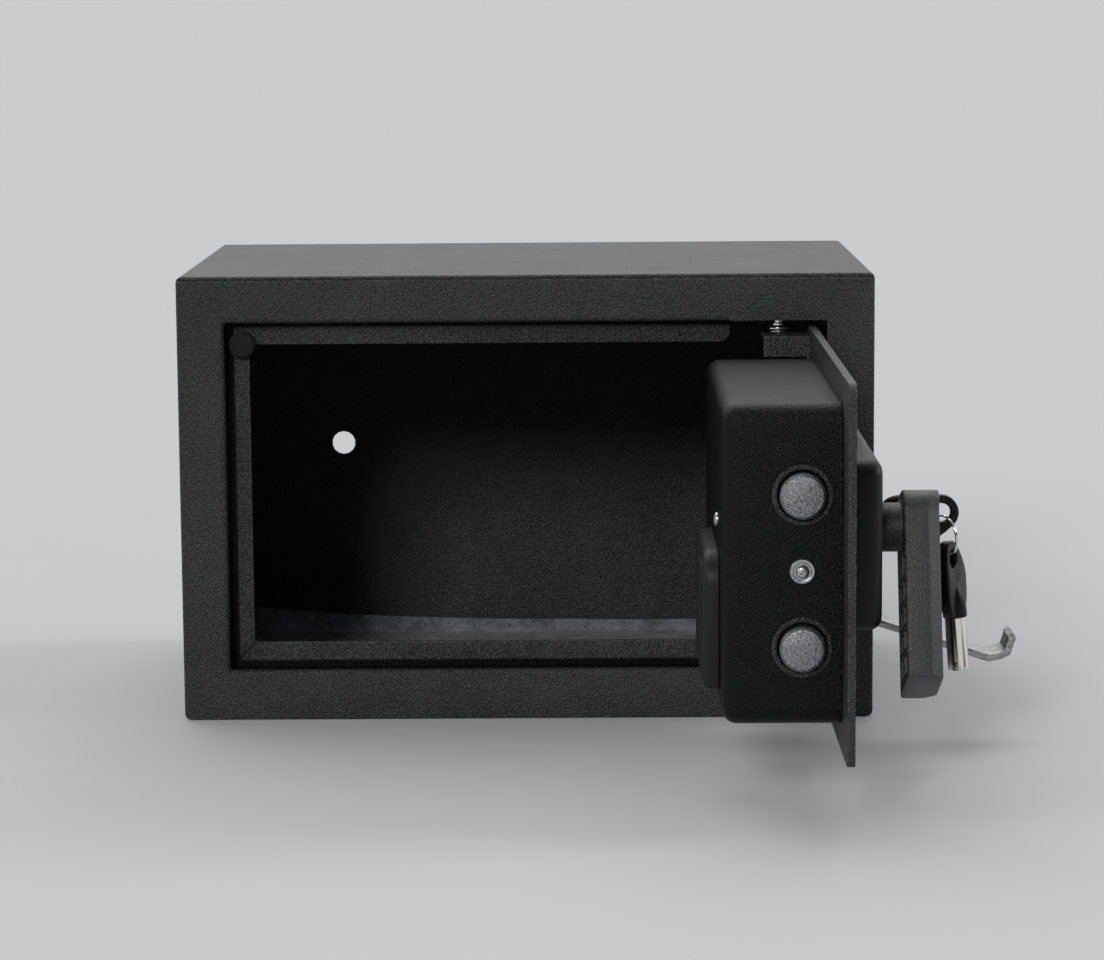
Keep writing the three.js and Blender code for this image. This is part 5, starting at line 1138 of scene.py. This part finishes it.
# %% Figures
def figure(index, character):
    low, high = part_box(f"keypad_key_{index}")
    clear_selection()
    bpy.ops.object.text_add(location=(0, 0, 0))
    made = bpy.context.object
    made.data.body = character
    made.data.size = 6.6 * MM
    made.data.extrude = 0.03 * MM
    made.data.align_x = made.data.align_y = "CENTER"
    bpy.ops.object.convert(target="MESH")
    made = called(bpy.context.object, f"figure_{index}")
    corners = [vertex.co for vertex in made.data.vertices]
    middle = [(min(c[i] for c in corners) + max(c[i] for c in corners)) / 2 for i in range(2)]
    facing = Matrix(((0, 0, 1, high[0] + 0.02 * MM), (1, 0, 0, (low[1] + high[1]) / 2 - middle[0]),
                     (0, 1, 0, (low[2] + high[2]) / 2 - middle[1]), (0, 0, 0, 1)))
    set_in_place(made, facing)
    paint(made, figure_ink)
    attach(made, f"key_button_{index}")


for i, character in enumerate("123456789*0#", 1):
    figure(i, character)
print("twelve figures on the keypad")

# %% [markdown]
# ## Felt mat
# The mat was cut a little long, so its back edge climbs the back wall, higher at the left than at the
# right. A grid is laid flat at its cut size, and every row is then moved along that profile. Solidify
# gives the felt its thickness.

# %% Felt mat
MAT_BEND, MAT_THICK, MAT_CLIMB = 7 * MM, 2.4 * MM, 4 * MM
# In millimetres, the height of the curled edge, and how much more it has over a share of the width.
EDGE_HEIGHT, LEFT_RISE, LEFT_SHARE, CORNER_RISE, CORNER_SHARE = 9.4, 6, 0.62, 4.2, 0.3


def mat_profile(along, curl):
    """The height and depth of a point that lies this far from the mat's front edge."""
    if along < curl:
        return along, 0.0
    angle = min((along - curl) / MAT_BEND, pi / 2)
    climb = max(along - curl - MAT_BEND * pi / 2, 0)
    return curl + MAT_BEND * sin(angle) + 0.04 * climb, MAT_BEND * (1 - cos(angle)) + climb


def mat_piece():
    low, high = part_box("floor_mat")
    width, depth = high[0] - low[0], high[1] - low[1]
    curl = depth - MAT_BEND - MAT_THICK - 0.6 * MM
    length = curl + MAT_BEND * pi / 2 + MAT_CLIMB
    clear_selection()
    bpy.ops.mesh.primitive_grid_add(x_subdivisions=150, y_subdivisions=110, size=1)
    made = bpy.context.object
    for vertex in made.data.vertices:
        across_mat, along = vertex.co.x + 0.5, vertex.co.y + 0.5
        x = low[0] + width * across_mat
        edge = EDGE_HEIGHT + LEFT_RISE * max(0.0, LEFT_SHARE - across_mat) ** 1.2
        edge += CORNER_RISE * max(0.0, CORNER_SHARE - across_mat) / CORNER_SHARE
        edge += 0.7 * noise.noise((x * 26, 3.1, 0))
        rise = length - MAT_CLIMB + (edge - 2 - 7) * MM
        y, z = mat_profile(along * rise, curl)
        ripple = 0.35 * noise.noise((x * 14, y * 14, 0.4)) + 0.12 * noise.noise((x * 90, y * 90, 2))
        vertex.co = (x, low[1] + 0.6 * MM * noise.noise((x * 30, 1.7, 5)) * (1 - along) + y,
                     low[2] + (0.45 + ripple * 0.5) * MM + z)
    called(made, "felt_mat")
    modifier(made, "SOLIDIFY", thickness=MAT_THICK, offset=1, use_even_offset=True)
    soften(made, 0.7 * MM, 3, 50)
    hand_over(made, grey_felt, "case", "felt", "floor_mat", smooth=60)


mat_piece()
